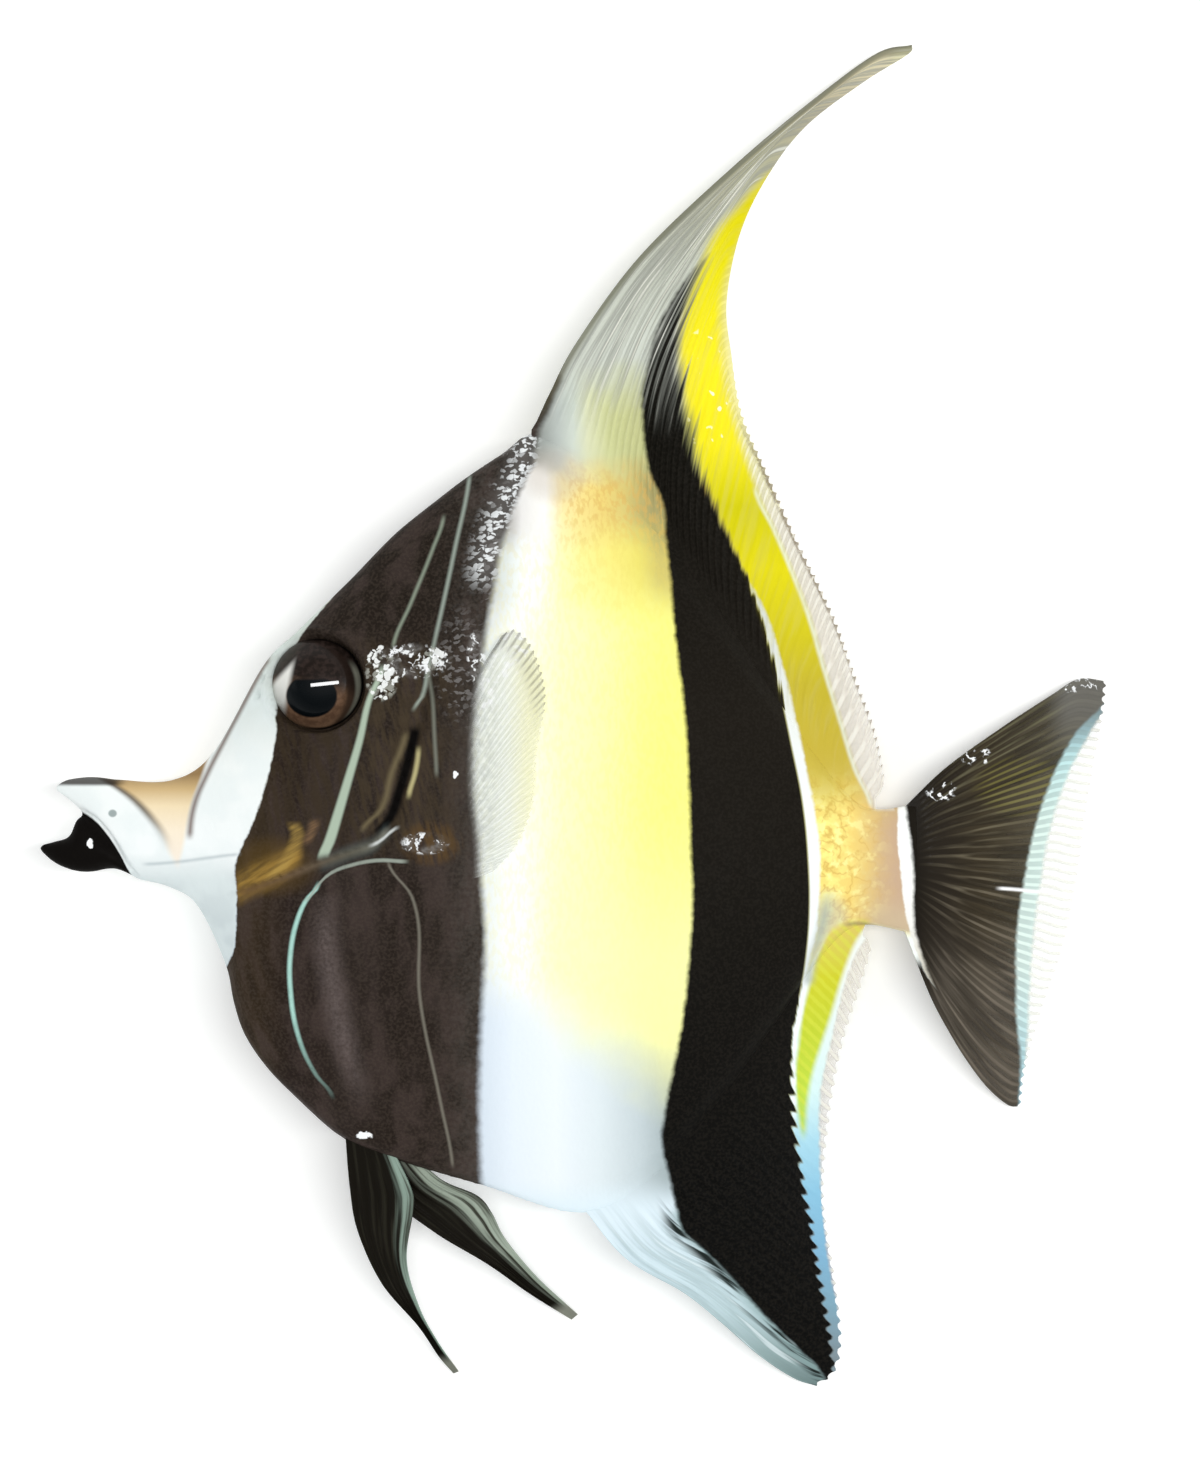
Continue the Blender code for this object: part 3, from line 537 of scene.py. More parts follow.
# %% Pectoral fins
PECTORAL_ROOT = [(-14.2, -11.4), (-12.4, -13.4), (-11.4, -15.2)]
PECTORAL_LEAD = [(-14.2, -11.4), (-12.6, -5.2), (-11.0, 0.0), (-9.0, 4.2), (-6.9, 7.6)]
PECTORAL_MARGIN = [
    (-6.9, 7.6), (-5.6, 7.9), (-4.0, 6.0), (-2.9, 1.8), (-3.7, -3.6), (-4.1, -8.6), (-5.6, -12.2),
    (-7.6, -14.5),
]
PECTORAL_REAR = [(-11.4, -15.2), (-9.4, -15.2), (-7.6, -14.5)]
PECTORAL_LIFT = 0.7  # how far its margin stands off the flank
PECTORAL_HALVES = (0.35, 0.1)


def flank_height(x, y):
    """Height of the left flank under the pectoral fin, fitted to the skin."""
    places = np.empty(len(skin.data.vertices) * 3)
    skin.data.vertices.foreach_get("co", places)
    places = places.reshape(-1, 3) / MM
    beside = (places[:, 0] > -18) & (places[:, 0] < 2) & (np.abs(places[:, 1] + 4) < 16)
    top = places[(places[:, 2] > 8) & beside]
    powers = [(i, j) for i in range(4) for j in range(4 - i)]
    terms = np.stack([top[:, 0] ** i * top[:, 1] ** j for i, j in powers], 1)
    fit = np.linalg.lstsq(terms, top[:, 2], rcond=None)[0]
    return sum(c * x**i * y**j for c, (i, j) in zip(fit, powers))


def on_flank(x, y, length, v, half):
    return flank_height(x, y) + 0.15 + half + PECTORAL_LIFT * v * v


def on_floor(x, y, length, v, half):
    return half


def draw_pectoral(name, height):
    lines = (PECTORAL_ROOT, PECTORAL_MARGIN, PECTORAL_LEAD, PECTORAL_REAR)
    return draw_fin(name, lines, "pectoral", (216, 60), height, 0.06, 0.25, halves=PECTORAL_HALVES)


pectoral_left = draw_pectoral("pectoral_fin_left_skin", on_flank)
pectoral_right = draw_pectoral("pectoral_fin_right_skin", on_floor)

# %% [markdown]
# ## The pelvic fins
# The two pelvic fins hang from the breast side by side and lie down on the floor. They are
# narrow and end in a point, so their margin is only a short line between the two tips.

# %% Pelvic fins
LEFT_PELVIC_LEAD = [
    (-21.6, -44.8), (-20.9, -49.1), (-18.7, -54.3), (-15.3, -58.7), (-13.4, -61.8), (-12.0, -63.6)
]
LEFT_PELVIC_REAR = [
    (-15.8, -44.9), (-15.6, -47.0), (-16.3, -52.0), (-15.2, -56.6), (-13.5, -60.2), (-11.5, -63.4)
]
RIGHT_PELVIC_LEAD = [(-18.0, -45.6), (-13.8, -49.3), (-8.7, -52.6), (-4.6, -55.7), (-0.6, -58.4)]
RIGHT_PELVIC_REAR = [
    (-13.0, -44.3), (-9.6, -45.9), (-8.2, -47.6), (-6.9, -50.2), (-3.9, -54.0), (0.0, -57.9)
]
PELVIC_OFFSET = 0.8  # of each one from the fish's middle plane


def draw_pelvic(name, side, first, last, lead, rear):
    base = chord_line(first, last, False, INSIDE)
    level = MID_HEIGHT + side * PELVIC_OFFSET
    lines = (base, [lead[-1], rear[-1]], [base[0]] + lead, [base[-1]] + rear)

    def hanging(x, y, length, v, half):
        return sunk(level, length, v, half)

    return draw_fin(name, lines, "pelvic", (96, 90), hanging, 0.12)


pelvic_left = draw_pelvic("pelvic_fin_left_skin", 1, 8.0, 8.85, LEFT_PELVIC_LEAD, LEFT_PELVIC_REAR)
pelvic_right = draw_pelvic("pelvic_fin_right_skin", -1, 8.3, 9.1, RIGHT_PELVIC_LEAD, RIGHT_PELVIC_REAR)

# %% [markdown]
# ## Eyes
# The eye is a flattened ball with the cornea bulging a little out of it. The CAD ball has the
# right size and place but few faces, so a finer one replaces it. Its iris and pupil are painted
# by distance from the pupil's middle.

# %% Two fine eyes
EYE_HALF_DEPTH = 2.8
CORNEA_RADIUS, CORNEA_RISE = 3.3, 0.35


def draw_eye(name, side):
    bm = bmesh.new()
    bmesh.ops.create_uvsphere(bm, u_segments=96, v_segments=64, radius=1.0)
    for vert in bm.verts:
        inside = (CORNEA_RADIUS / EYE_RADIUS - vert.co.xy.length) * 3 + 0.5
        dome = CORNEA_RISE * max(vert.co.z * side, 0.0) * float(smoothstep(inside))
        vert.co.z = vert.co.z * (EYE_HALF_DEPTH - CORNEA_RISE) + side * dome
    bmesh.ops.scale(bm, verts=bm.verts, vec=(EYE_RADIUS, EYE_RADIUS, 1.0))
    bmesh.ops.translate(bm, verts=bm.verts, vec=(*EYE_CENTRE, MID_HEIGHT + side * EYE_OFFSET))
    bmesh.ops.scale(bm, verts=bm.verts, vec=(MM, MM, MM))
    eye = new_object(name, bm)
    eye.data.shade_smooth()
    return eye


eye_left = draw_eye("eye_left_ball", 1)
eye_right = draw_eye("eye_right_ball", -1)
print("eye faces:", len(eye_left.data.polygons))

# %% [markdown]
# ## Painting with nodes
# The markings are the fish's signature, and they must stay sharp at any distance. An image
# would blur, so they are drawn as functions of the place on the fish. Only one helper adds
# nodes. It finds the node tree through the sockets that it links, so that the steps below stay
# short. Sockets are named by their number or their name, as the node shows them.


# %% Colours and the one node helper
def paint(hex_colour):
    """A Blender colour from an sRGB hex value."""
    parts = [int(hex_colour[i : i + 2], 16) / 255 for i in (1, 3, 5)]
    return (*[c / 12.92 if c <= 0.04045 else ((c + 0.055) / 1.055) ** 2.4 for c in parts], 1.0)


def fill(node, inputs):
    """Links sockets to a node's inputs, and sets plain values on them."""
    for key, value in inputs.items():
        if isinstance(value, bpy.types.NodeSocket):
            node.id_data.links.new(value, node.inputs[key])
        else:
            node.inputs[key].default_value = value


def add(kind, inputs=(), tree=None, **settings):
    """Adds a node, sets it up and fills its inputs. Gives its first output."""
    inputs = dict(inputs)
    sockets = [value for value in inputs.values() if isinstance(value, bpy.types.NodeSocket)]
    made = (tree or sockets[0].id_data).nodes.new("ShaderNode" + kind)
    for name, value in settings.items():
        setattr(made, name, value)
    fill(made, inputs)
    return made.outputs[0]


def mm_place(tree):
    """Object coordinates in millimetres, whole and as x and y."""
    coordinates = tree.nodes.new("ShaderNodeTexCoord").outputs["Object"]
    mm = add("VectorMath", {0: coordinates, 1: (1000.0,) * 3}, operation="MULTIPLY")
    parts = add("SeparateXYZ", {0: mm}).node
    return {"mm": mm, "x": parts.outputs[0], "y": parts.outputs[1]}


def grain(place, size, detail=3.0, stretch=(1.0, 1.0, 1.0)):
    """Noise with grains of a given size in millimetres."""
    scaled = add("Mapping", {0: place["mm"], 3: stretch})
    return add("TexNoise", {0: scaled, 2: 1.0 / size, 3: detail})


print("mid grey in linear light:", round(paint("#808080")[0], 3))

# %% [markdown]
# ## Masks and their logic
# A mask is 1 where a colour lies and 0 elsewhere, with a soft step between. Masks combine as
# sets do: both, either, one without the other. Multiply, Maximum and Subtract nodes are enough
# for that, and they work on soft edges as well.


# %% Combine masks
def past(value, limit, soft):
    """0 below a limit and 1 above it, over a soft step."""
    gap = add("Math", {0: value, 1: limit}, operation="SUBTRACT")
    return add("MapRange", {0: gap, 1: -soft, 2: soft}, interpolation_type="SMOOTHSTEP")


def both(a, b):
    return add("Math", {0: a, 1: b}, operation="MULTIPLY")


def either(a, b):
    return add("Math", {0: a, 1: b}, operation="MAXIMUM")


def outside(mask):
    return add("Math", {0: 1.0, 1: mask}, operation="SUBTRACT")


def without(a, b):
    """Mask a where mask b isn't."""
    return both(a, outside(b))


def between(value, low, high, soft):
    return without(past(value, low, soft), past(value, high, soft))


def patch(place, centre, radii, soft):
    """1 inside an ellipse and 0 outside it."""
    far = []
    for axis, middle, radius in zip("xy", centre, radii):
        gap = add("Math", {0: place[axis], 1: middle}, operation="SUBTRACT")
        gap = add("Math", {0: gap, 1: radius}, operation="DIVIDE")
        far.append(both(gap, gap))
    return outside(past(add("Math", {0: far[0], 1: far[1]}, operation="ADD"), 1.0, soft))


print("masks combine by both, either, outside, without and between")

# %% [markdown]
# ## Masks from measured lines
# Each border between two colours is a measured line that gives x for any y. We hold it in a
# Float Curve node, whose curve is smooth between its points. The distance to that curve gives a
# mask for all that lies behind it, or for a thin line along it. A line that runs along the fish
# is drawn the same way with x and y swapped.

# %% Borders and thin lines
ALONG = (-70.0, 70.0)  # the range that a curve covers
ACROSS = (-60.0, 60.0)  # the range of its heights


def border(along, points):
    """The place of a border for any place along it, from measured (along, across) points."""
    spots = sorted(
        ((a - ALONG[0]) / (ALONG[1] - ALONG[0]), (b - ACROSS[0]) / (ACROSS[1] - ACROSS[0]))
        for a, b in points
    )
    share = add("MapRange", {0: along, 1: ALONG[0], 2: ALONG[1]})
    height = add("FloatCurve", {1: share})
    mapping = height.node.mapping
    curve = mapping.curves[0]
    curve.points[0].location = (0.0, spots[0][1])
    curve.points[1].location = (1.0, spots[-1][1])
    for spot in spots:
        curve.points.new(*spot)
    mapping.update()
    return add("MapRange", {0: height, 3: ACROSS[0], 4: ACROSS[1]})


def past_line(place, points):
    """Signed distance behind a line of (x, y) points, along the fish."""
    middle = border(place["y"], [(y, x) for x, y in points])
    return add("Math", {0: place["x"], 1: middle}, operation="SUBTRACT")


def behind(place, points, soft=0.12):
    """1 on the tail side of a border. The softness may change with place."""
    gap = add("Math", {0: past_line(place, points), 1: soft}, operation="DIVIDE")
    return add("MapRange", {0: gap, 1: -1.0, 2: 1.0}, interpolation_type="SMOOTHSTEP")


def thin_line(place, points, width, soft=0.1):
    """1 on a line of a given width along (x, y) points, and 0 past its ends."""
    gap = add("Math", {0: past_line(place, points)}, operation="ABSOLUTE")
    on_line = outside(past(both(gap, 2.0), width, 2 * soft))
    low, high = min(p[1] for p in points), max(p[1] for p in points)
    return both(on_line, between(place["y"], low, high, 0.5))


def level_line(place, points, width, soft=0.1):
    """As thin_line, for a line that runs more along the fish than across it."""
    turned = {"x": place["y"], "y": place["x"]}
    return thin_line(turned, [(y, x) for x, y in points], width, soft)


print("a border's curve covers", ALONG, "mm")

# %% [markdown]
# ## Coats of colour
# Paint goes on in coats, as on a wooden model. One function lays a coat where a mask is 1, and
# a second one lays a whole table of coats, which keeps the recipes below easy to read. Colours
# that run one into the next are tables too, of a place in millimetres and a hex value.


# %% Lay coats and blend colours
def coat_of(below, mask, colour, strength=1.0):
    """Lays a colour over another where the mask is 1."""
    over = paint(colour) if isinstance(colour, str) else colour
    share = mask if strength == 1.0 else both(mask, strength)
    return add("Mix", {0: share, 6: below, 7: over}, data_type="RGBA").node.outputs[2]


def lay_coats(colour, coats):
    """Lays coats of (mask, colour) or (mask, colour, strength) one over the other."""
    for coat in coats:
        colour = coat_of(colour, *coat)
    return colour


def ramp(value, stops):
    """Colours that run one into the next, each at its own value."""
    low, high = stops[0][0], stops[-1][0]
    share = add("MapRange", {0: value, 1: low, 2: high})
    colour = add("ValToRGB", {0: share})
    elements = colour.node.color_ramp.elements
    elements.remove(elements[1])
    for number, (at, hex_colour) in enumerate(stops):
        spot = (at - low) / (high - low)
        element = elements.new(spot) if number else elements[0]
        element.position = spot
        element.color = paint(hex_colour)
    return colour


print("lemon in linear light:", [round(c, 3) for c in paint("#FEFFC8")])

# %% [markdown]
# ## Where each colour ends
# These are the borders of the bands, read off the fish. The black bands of a moorish idol
# always run from fin to fin, so the same lines carry on over the dorsal and anal fins.

# %% The borders of the bands
FRONT_BAR_FRONT = [
    (-36.0, -50.0), (-35.0, -28.0), (-33.6, -24.5), (-32.4, -22.2), (-32.1, -19.6), (-32.0, -16.5),
    (-32.1, -14.2), (-31.7, -13.0), (-30.2, -9.7), (-28.9, -5.5), (-28.2, -1.6), (-28.2, 1.4),
    (-26.7, 6.2), (-23.5, 10.7), (-19.1, 16.1), (-14.5, 21.0), (-3.5, 31.0),
]
FRONT_BAR_REAR = [
    (-9.0, -48.0), (-9.2, -38.8), (-9.1, -31.5), (-8.6, -20.4), (-8.9, -15.6), (-9.0, -12.0),
    (-9.5, -7.2), (-9.5, -3.7), (-9.2, 1.1), (-8.4, 8.5), (-8.0, 10.7), (-7.4, 14.6), (-6.4, 18.5),
    (-5.6, 20.5), (-4.7, 22.6), (-4.2, 23.6), (-4.0, 25.4), (-3.5, 27.2), (-2.9, 28.6), (-2.4, 29.8),
    (-2.0, 31.0), (-1.6, 32.0), (-4.0, 34.5),
]
REAR_BAR_FRONT = [
    (23.8, -64.1), (21.1, -60.9), (17.4, -57.0), (14.8, -53.9), (11.9, -50.8), (10.0, -49.0),
    (9.5, -47.1), (8.7, -43.8), (8.0, -40.2), (8.3, -37.3), (9.2, -32.5), (9.9, -28.7), (10.4, -23.9),
    (10.8, -17.3), (10.6, -11.7), (10.4, -4.9), (10.0, 1.1), (9.3, 6.9), (8.8, 12.9), (8.4, 16.9),
    (8.2, 19.9), (7.0, 22.7), (6.3, 26.1), (6.2, 28.6), (6.1, 30.1), (6.7, 33.2), (7.6, 36.9),
    (9.1, 39.7), (11.2, 42.8), (17.0, 47.5), (30.0, 56.0), (58.0, 62.0),
]
REAR_BAR_REAR = [
    (24.9, -64.5), (24.5, -61.2), (24.1, -58.3), (23.2, -53.4), (22.2, -47.6), (21.3, -42.7),
    (20.7, -38.6), (20.5, -34.8), (20.5, -30.7), (21.2, -26.4), (21.7, -22.3), (21.9, -19.0),
    (21.8, -14.0), (21.3, -8.4), (20.2, -2.5), (19.4, 1.7), (18.5, 5.7), (17.6, 9.1), (16.5, 12.4),
    (14.9, 16.0), (13.1, 20.1), (11.4, 24.3), (10.4, 29.7), (9.8, 33.3), (9.8, 36.4), (10.6, 40.0),
    (11.8, 43.3), (12.8, 45.8), (15.3, 49.0), (17.8, 51.9), (22.0, 54.8), (28.0, 58.5), (50.0, 61.0),
]
WHITE_BAND_REAR = [
    (20.9, -38.0), (20.9, -31.3), (21.4, -28.5), (21.8, -25.6), (22.1, -22.9), (22.5, -21.3),
    (22.8, -18.5), (22.9, -16.1), (22.9, -12.7), (22.5, -9.4), (21.9, -6.0), (20.9, -0.8), (19.7, 4.3),
    (17.9, 10.0), (16.3, 12.9), (12.0, 18.0),
]
print("borders of the rear band:", len(REAR_BAR_FRONT) + len(REAR_BAR_REAR), "points")

# %% [markdown]
# ## Borders on the fins and the tail stalk
# The fins carry their own stripes: yellow and blue on the anal fin, a clear margin on the dorsal
# and anal fins, and a white foot and a blue crescent on the tail.

# %% The borders on the fins
DORSAL_CLEAR_EDGE = [
    (28.2, -8.7), (26.7, -5.2), (25.3, -0.5), (23.7, 4.8), (22.5, 9.1), (20.9, 13.5), (19.1, 17.8),
    (17.3, 21.7), (15.6, 27.5), (14.6, 32.3), (14.2, 37.2), (14.4, 41.0), (15.9, 45.5), (18.6, 51.0),
    (23.0, 56.3), (30.0, 62.0),
]
ANAL_YELLOW_FRONT = [
    (24.6, -18.5), (23.4, -21.3), (22.7, -22.9), (22.1, -25.6), (21.4, -28.5), (21.1, -31.3),
    (20.8, -33.9), (20.9, -36.5), (21.4, -39.8), (22.0, -44.0),
]
ANAL_YELLOW_REAR = [
    (27.8, -19.5), (26.7, -21.3), (26.0, -22.9), (25.1, -25.6), (24.3, -28.5), (23.4, -31.3),
    (22.6, -33.9), (22.1, -36.5), (21.9, -39.9),
]
ANAL_CLEAR_EDGE = [
    (27.6, -21.0), (26.6, -22.9), (25.6, -25.6), (24.9, -28.5), (24.3, -31.3), (23.7, -33.9),
    (23.3, -36.5), (23.3, -40.5), (23.6, -46.9), (24.3, -53.0), (26.0, -62.0),
]
BELLY_EDGE = [
    (-60.0, -32.0), (18.0, -32.0), (20.5, -28.5), (21.5, -25.5), (22.6, -22.8), (23.7, -21.2),
    (25.0, -20.3), (26.5, -20.0), (32.0, -20.9), (60.0, -20.9),
]
FOOT_SHADE = [(23.7, -15.6), (23.5, -18.0), (23.2, -19.8), (22.8, -21.3), (22.3, -22.9), (21.9, -25.6)]
STALK_UNDERSIDE = [(25.4, -19.9), (26.4, -19.8), (27.5, -19.9), (29.0, -20.4), (30.2, -21.0)]
TAIL_WHITE_FRONT = [
    (30.5, -8.0), (30.4, -11.9), (30.8, -15.7), (31.2, -18.9), (32.1, -21.9), (33.3, -24.8),
    (35.5, -28.0),
]
TAIL_WHITE_REAR = [
    (31.2, -8.0), (31.7, -12.4), (32.0, -15.9), (32.0, -19.6), (32.7, -22.4), (33.5, -24.6),
    (34.8, -28.0),
]
TAIL_CRESCENT_FRONT = [
    (42.6, -38.0), (42.7, -33.0), (42.3, -29.4), (42.2, -26.0), (42.2, -20.9), (42.9, -15.9),
    (43.7, -11.8), (45.5, -6.4), (47.9, -1.9), (51.5, 2.4),
]
TAIL_CRESCENT_REAR = [
    (43.0, -38.0), (43.3, -33.0), (43.5, -29.5), (43.6, -26.1), (43.9, -20.9), (44.6, -15.9),
    (45.3, -11.8), (47.0, -6.4), (49.6, -1.4), (52.0, 2.4),
]
print("borders of the tail's crescent:", len(TAIL_CRESCENT_FRONT) + len(TAIL_CRESCENT_REAR), "points")

# %% [markdown]
# ## Lines of the head
# The head has a tan saddle with dark edges, fine pale lines, a painted shadow in the slit of the
# gill, a few golden flames at the throat, and the painted sheen, highlight and glint of its wet
# skin. Each is a short measured line.

# %% The lines of the head
SADDLE_FRONT = [
    (-46.0, -5.2), (-44.4, -6.3), (-41.9, -8.0), (-40.0, -10.0), (-39.1, -11.3), (-38.4, -13.1),
    (-37.8, -14.3),
]
SADDLE_REAR = [
    (-34.5, -1.0), (-34.9, -3.8), (-35.4, -5.7), (-36.3, -8.2), (-36.8, -10.6), (-37.2, -12.7),
    (-37.6, -14.3),
]
FOREHEAD_EDGE = [
    (-36.9, -11.5), (-36.5, -8.6), (-35.3, -5.6), (-33.8, -2.6), (-32.1, 0.6), (-30.3, 4.0),
    (-29.5, 5.4),
]
LIP_BORDER = [
    (-50.0, -8.2), (-47.0, -9.2), (-45.7, -10.0), (-44.6, -11.2), (-43.7, -12.5), (-43.0, -13.7),
    (-41.7, -15.8),
]
CHIN_FOLD = [(-40.9, -14.1), (-38.0, -13.9), (-35.0, -13.5), (-31.8, -13.1)]
CHEEK_STRIPE = [
    (-23.7, -13.3), (-23.1, -11.8), (-22.5, -9.9), (-21.4, -6.2), (-20.3, -2.4), (-19.4, 1.4),
    (-18.2, 4.4),
]
NAPE_LINE_FRONT = [(-17.2, 6.4), (-15.6, 10.4), (-13.6, 15.5), (-12.6, 18.6)]
NAPE_LINE_REAR = [
    (-15.2, 0.6), (-14.5, 1.6), (-13.9, 4.2), (-13.3, 7.0), (-12.5, 10.6), (-11.5, 15.5), (-10.2, 22.6)
]
SHOULDER_LINE = [(-13.1, -5.6), (-13.3, -2.0), (-13.5, 1.4), (-13.9, 4.2)]
GILL_SHADOW = [(-18.6, -11.0), (-17.6, -9.9), (-16.5, -6.9), (-15.5, -3.2), (-15.1, -1.2)]
GILL_STRIP = [(-15.7, -7.6), (-15.1, -5.4), (-14.8, -3.2)]
AMBER_GLOW = [(-32.0, -16.3), (-30.4, -15.5), (-28.8, -14.8), (-27.2, -14.0), (-25.8, -12.8)]
LONG_LICK = [(-28.6, -15.2), (-27.8, -14.4), (-26.9, -13.2), (-26.3, -12.0), (-26.1, -11.0), (-26.4, -10.3)]
SHORT_LICK = [(-25.3, -12.0), (-24.8, -10.9), (-24.5, -10.0)]
# Each flame of amber: its line, its width and its colour.
AMBER_LICKS = ((LONG_LICK, 1.1, "#A98B48"), (SHORT_LICK, 0.8, "#86684A"))
# Lines of painted light: along the cover's fold, its glint, and the breast's sheen.
COVER_FOLD = [
    (-31.8, -16.7), (-29.2, -15.9), (-26.8, -15.0), (-24.0, -13.9), (-20.8, -12.8), (-18.9, -12.1),
    (-17.6, -10.9),
]
FOLD_GLINT = [(-19.2, -12.2), (-18.0, -11.5), (-16.9, -10.6)]
BREAST_SHEEN = [(-20.3, -37.0), (-21.7, -31.5), (-23.0, -24.8), (-23.6, -19.2), (-23.4, -16.8)]
print("fine lines of the head start at the cheek:", CHEEK_STRIPE[0])

# %% [markdown]
# ## Masks that many coats share
# On the fish each border follows the edges of scales, so x wobbles a little with noise before
# the bands are read. Where the rear band crosses a fin, its border wanders from ray to ray
# instead, by a shift that the fin's material hands in. The bands and the parts of the tail are
# worked out once and kept in a dictionary, which every step below reads.


# %% Read the bands once
def moved(place, by):
    """A place whose x is moved by another value."""
    return dict(place, x=add("Math", {0: place["x"], 1: by}, operation="ADD"))


def tail_masks(fish):
    """The tail fin, its white foot, its dark part, the blue crescent and the clear margin."""
    tail = without(past(fish["x"], 30.2, 0.1), past(fish["y"], 10.0, 0.5))
    foot = behind(fish, TAIL_WHITE_FRONT)
    past_foot = behind(fish, TAIL_WHITE_REAR, 0.25)
    low_edge = without(outside(past(fish["y"], -23.5, 0.8)), without(foot, past_foot))
    return {
        "tail": tail,
        "tail foot": both(foot, tail),
        "tail dark": both(either(past_foot, low_edge), tail),
        "crescent": both(behind(fish, TAIL_CRESCENT_FRONT, 0.25), tail),
        "tail margin": both(behind(fish, TAIL_CRESCENT_REAR, 0.3), tail),
    }


def fish_masks(plain, shift):
    """The wobbling place on the fish with all the masks that the coats share."""
    wobble = add("MapRange", {0: grain(plain, 0.8), 3: -0.2, 4: 0.2})
    fish = moved(plain, wobble)
    x, y = fish["x"], fish["y"]
    drift = add("MapRange", {0: grain(plain, 5.0, 2.0), 3: -2.5, 4: 2.5})
    feathered = add("MapRange", {0: y, 1: 12.0, 2: 26.0, 3: 0.16, 4: 0.9})
    fish["plain"] = plain
    fish["x_soft"] = add("Math", {0: x, 1: both(drift, 0.5)}, operation="ADD")
    fish["y_soft"] = add("Math", {0: y, 1: drift}, operation="ADD")
    fish["flecks"] = past(grain(plain, 0.4, 3.0, (1.0, 0.4, 1.0)), 0.52, 0.1)
    fish["speckle"] = past(grain(plain, 0.28, 2.0), 0.52, 0.12)
    fish["front band"] = without(behind(fish, FRONT_BAR_FRONT, 0.15), behind(fish, FRONT_BAR_REAR, 0.5))
    fish["past rear front"] = behind(fish, REAR_BAR_FRONT, 0.3)
    fish["behind bands"] = behind(moved(plain, shift), REAR_BAR_REAR, feathered)
    fish["rear band"] = without(fish["past rear front"], fish["behind bands"])
    fish["over belly"] = border(x, BELLY_EDGE)
    fish.update(tail_masks(fish))
    return fish


print("points on the rear band's hind border:", len(REAR_BAR_REAR))

# %% [markdown]
# ## Pale ground
# Between the bands the flank goes from white at the belly through lemon to gold, and up into
# the grey and cream of the streamer. From front to back each of them has its own run of
# colours, and five soft steps up the fish change one run for the next.

# %% Paint the flank
# The low white is bluish in front and greys towards the rear band in painted shade.
LOW_WHITE_AND_SHADE = (
    (-9, "#D5E0EA"), (-6, "#E6EFF6"), (-2, "#EDF4F8"), (2, "#DFE9EC"), (6, "#C3CFD2"), (8.5, "#A5B2B4")
)
LEMON = (
    (-9, "#E4EAE6"), (-7, "#F4F7F2"), (-5, "#FBFCF3"), (-3.4, "#FEFFDE"), (-1.6, "#FEFFC8"),
    (2, "#FFFEB2"), (4, "#FFFEA4"), (6, "#FEFC93"), (8, "#FBF88A"),
)
RICH_LEMON = (
    (-9, "#8C8882"), (-7, "#D6DCD6"), (-5, "#F6FAF6"), (-3.4, "#FBFCF2"), (-1.6, "#FCF8BC"),
    (0.4, "#F8EF98"), (3, "#F5E881"), (5.8, "#E9DD70"), (7.6, "#CFC16E"),
)
GOLD = (
    (-7, "#8E8A84"), (-5.2, "#E8E6E2"), (-3, "#FBF9F2"), (-1.4, "#F7E6A6"), (0.4, "#F2DC8C"),
    (2.4, "#E9D079"), (4.5, "#D8C677"), (7, "#A9A06A"),
)
FIN_FOOT = (
    (-4.5, "#83857F"), (-3.2, "#9EA39E"), (-1.8, "#B9C0BA"), (-0.4, "#D0D8CC"), (1.0, "#DADDB8"),
    (3.0, "#CFD29A"), (5.4, "#C6C890"),
)
STREAMER = (
    (29, "#CED3C9"), (36, "#D0D4C8"), (43, "#C3C6B8"), (49, "#B4B4A0"), (54, "#AFAC90"),
    (59, "#B9B196"), (63, "#DCD2B0"),
)


def paint_flank(fish):
    """White, lemon and gold between the bands, then the dorsal fin's foot and the streamer."""
    x, y, y_soft, flecks = fish["x"], fish["y"], fish["y_soft"], fish["flecks"]
    lemon = coat_of(ramp(x, LEMON), flecks, "#EFE35E", 0.16)
    low = both(outside(past(y, -16.0, 9.0)), past(x, -3.0, 2.0))
    lemon = coat_of(lemon, low, "#F8FAC4", 0.55)
    slope = add("Math", {0: both(x, 0.55), 1: y_soft}, operation="ADD")
    golden = coat_of(ramp(x, GOLD), both(flecks, past(x, -1.5, 1.5)), "#DBB05C", 0.5)
    return lay_coats(lemon, (
        # The low white, with its painted shade next to the rear band.
        (outside(past(slope, -29.6, 5.0)), ramp(x, LOW_WHITE_AND_SHADE)),
        (past(y_soft, 10.5, 4.0), coat_of(ramp(x, RICH_LEMON), flecks, "#E2CF62", 0.2)),
        (past(y_soft, 17.2, 2.2), golden),
        (past(y_soft, 23.2, 1.6), ramp(x, FIN_FOOT)),
        (patch(fish, (-2.2, 22.7), (2.6, 2.4), 0.98), "#BDB0A2", 0.45),
        (past(y_soft, 31.5, 3.0), ramp(y, STREAMER)),
    ))


print("steps of lemon along the flank:", len(LEMON))

# %% [markdown]
# ## Tail stalk and yellow fin
# Behind the rear band the back is yellow from the stalk to the tip of the dorsal fin. The stalk
# is covered with small curls of gold. The same noise gives their light middles and their dark
# edges, and a second noise draws veins where it passes its middle value.

# %% Paint the stalk and the yellow of the back
STALK = (
    (21, "#F4E87C"), (23.5, "#FDF08C"), (25.6, "#F4DC80"), (27.4, "#E2C680"), (29.0, "#D0B286"),
    (30.4, "#C8AA8C"),
)
YELLOW_FIN = (
    (-9, "#C9B454"), (-3, "#C5B03E"), (3, "#C3B232"), (8, "#D0C41E"), (14, "#DFD411"), (20, "#CFC80C"),
    (26, "#F4E71C"), (34, "#F8EA22"), (42, "#E9DE06"), (50, "#D9CE10"), (56, "#D9D078"),
)


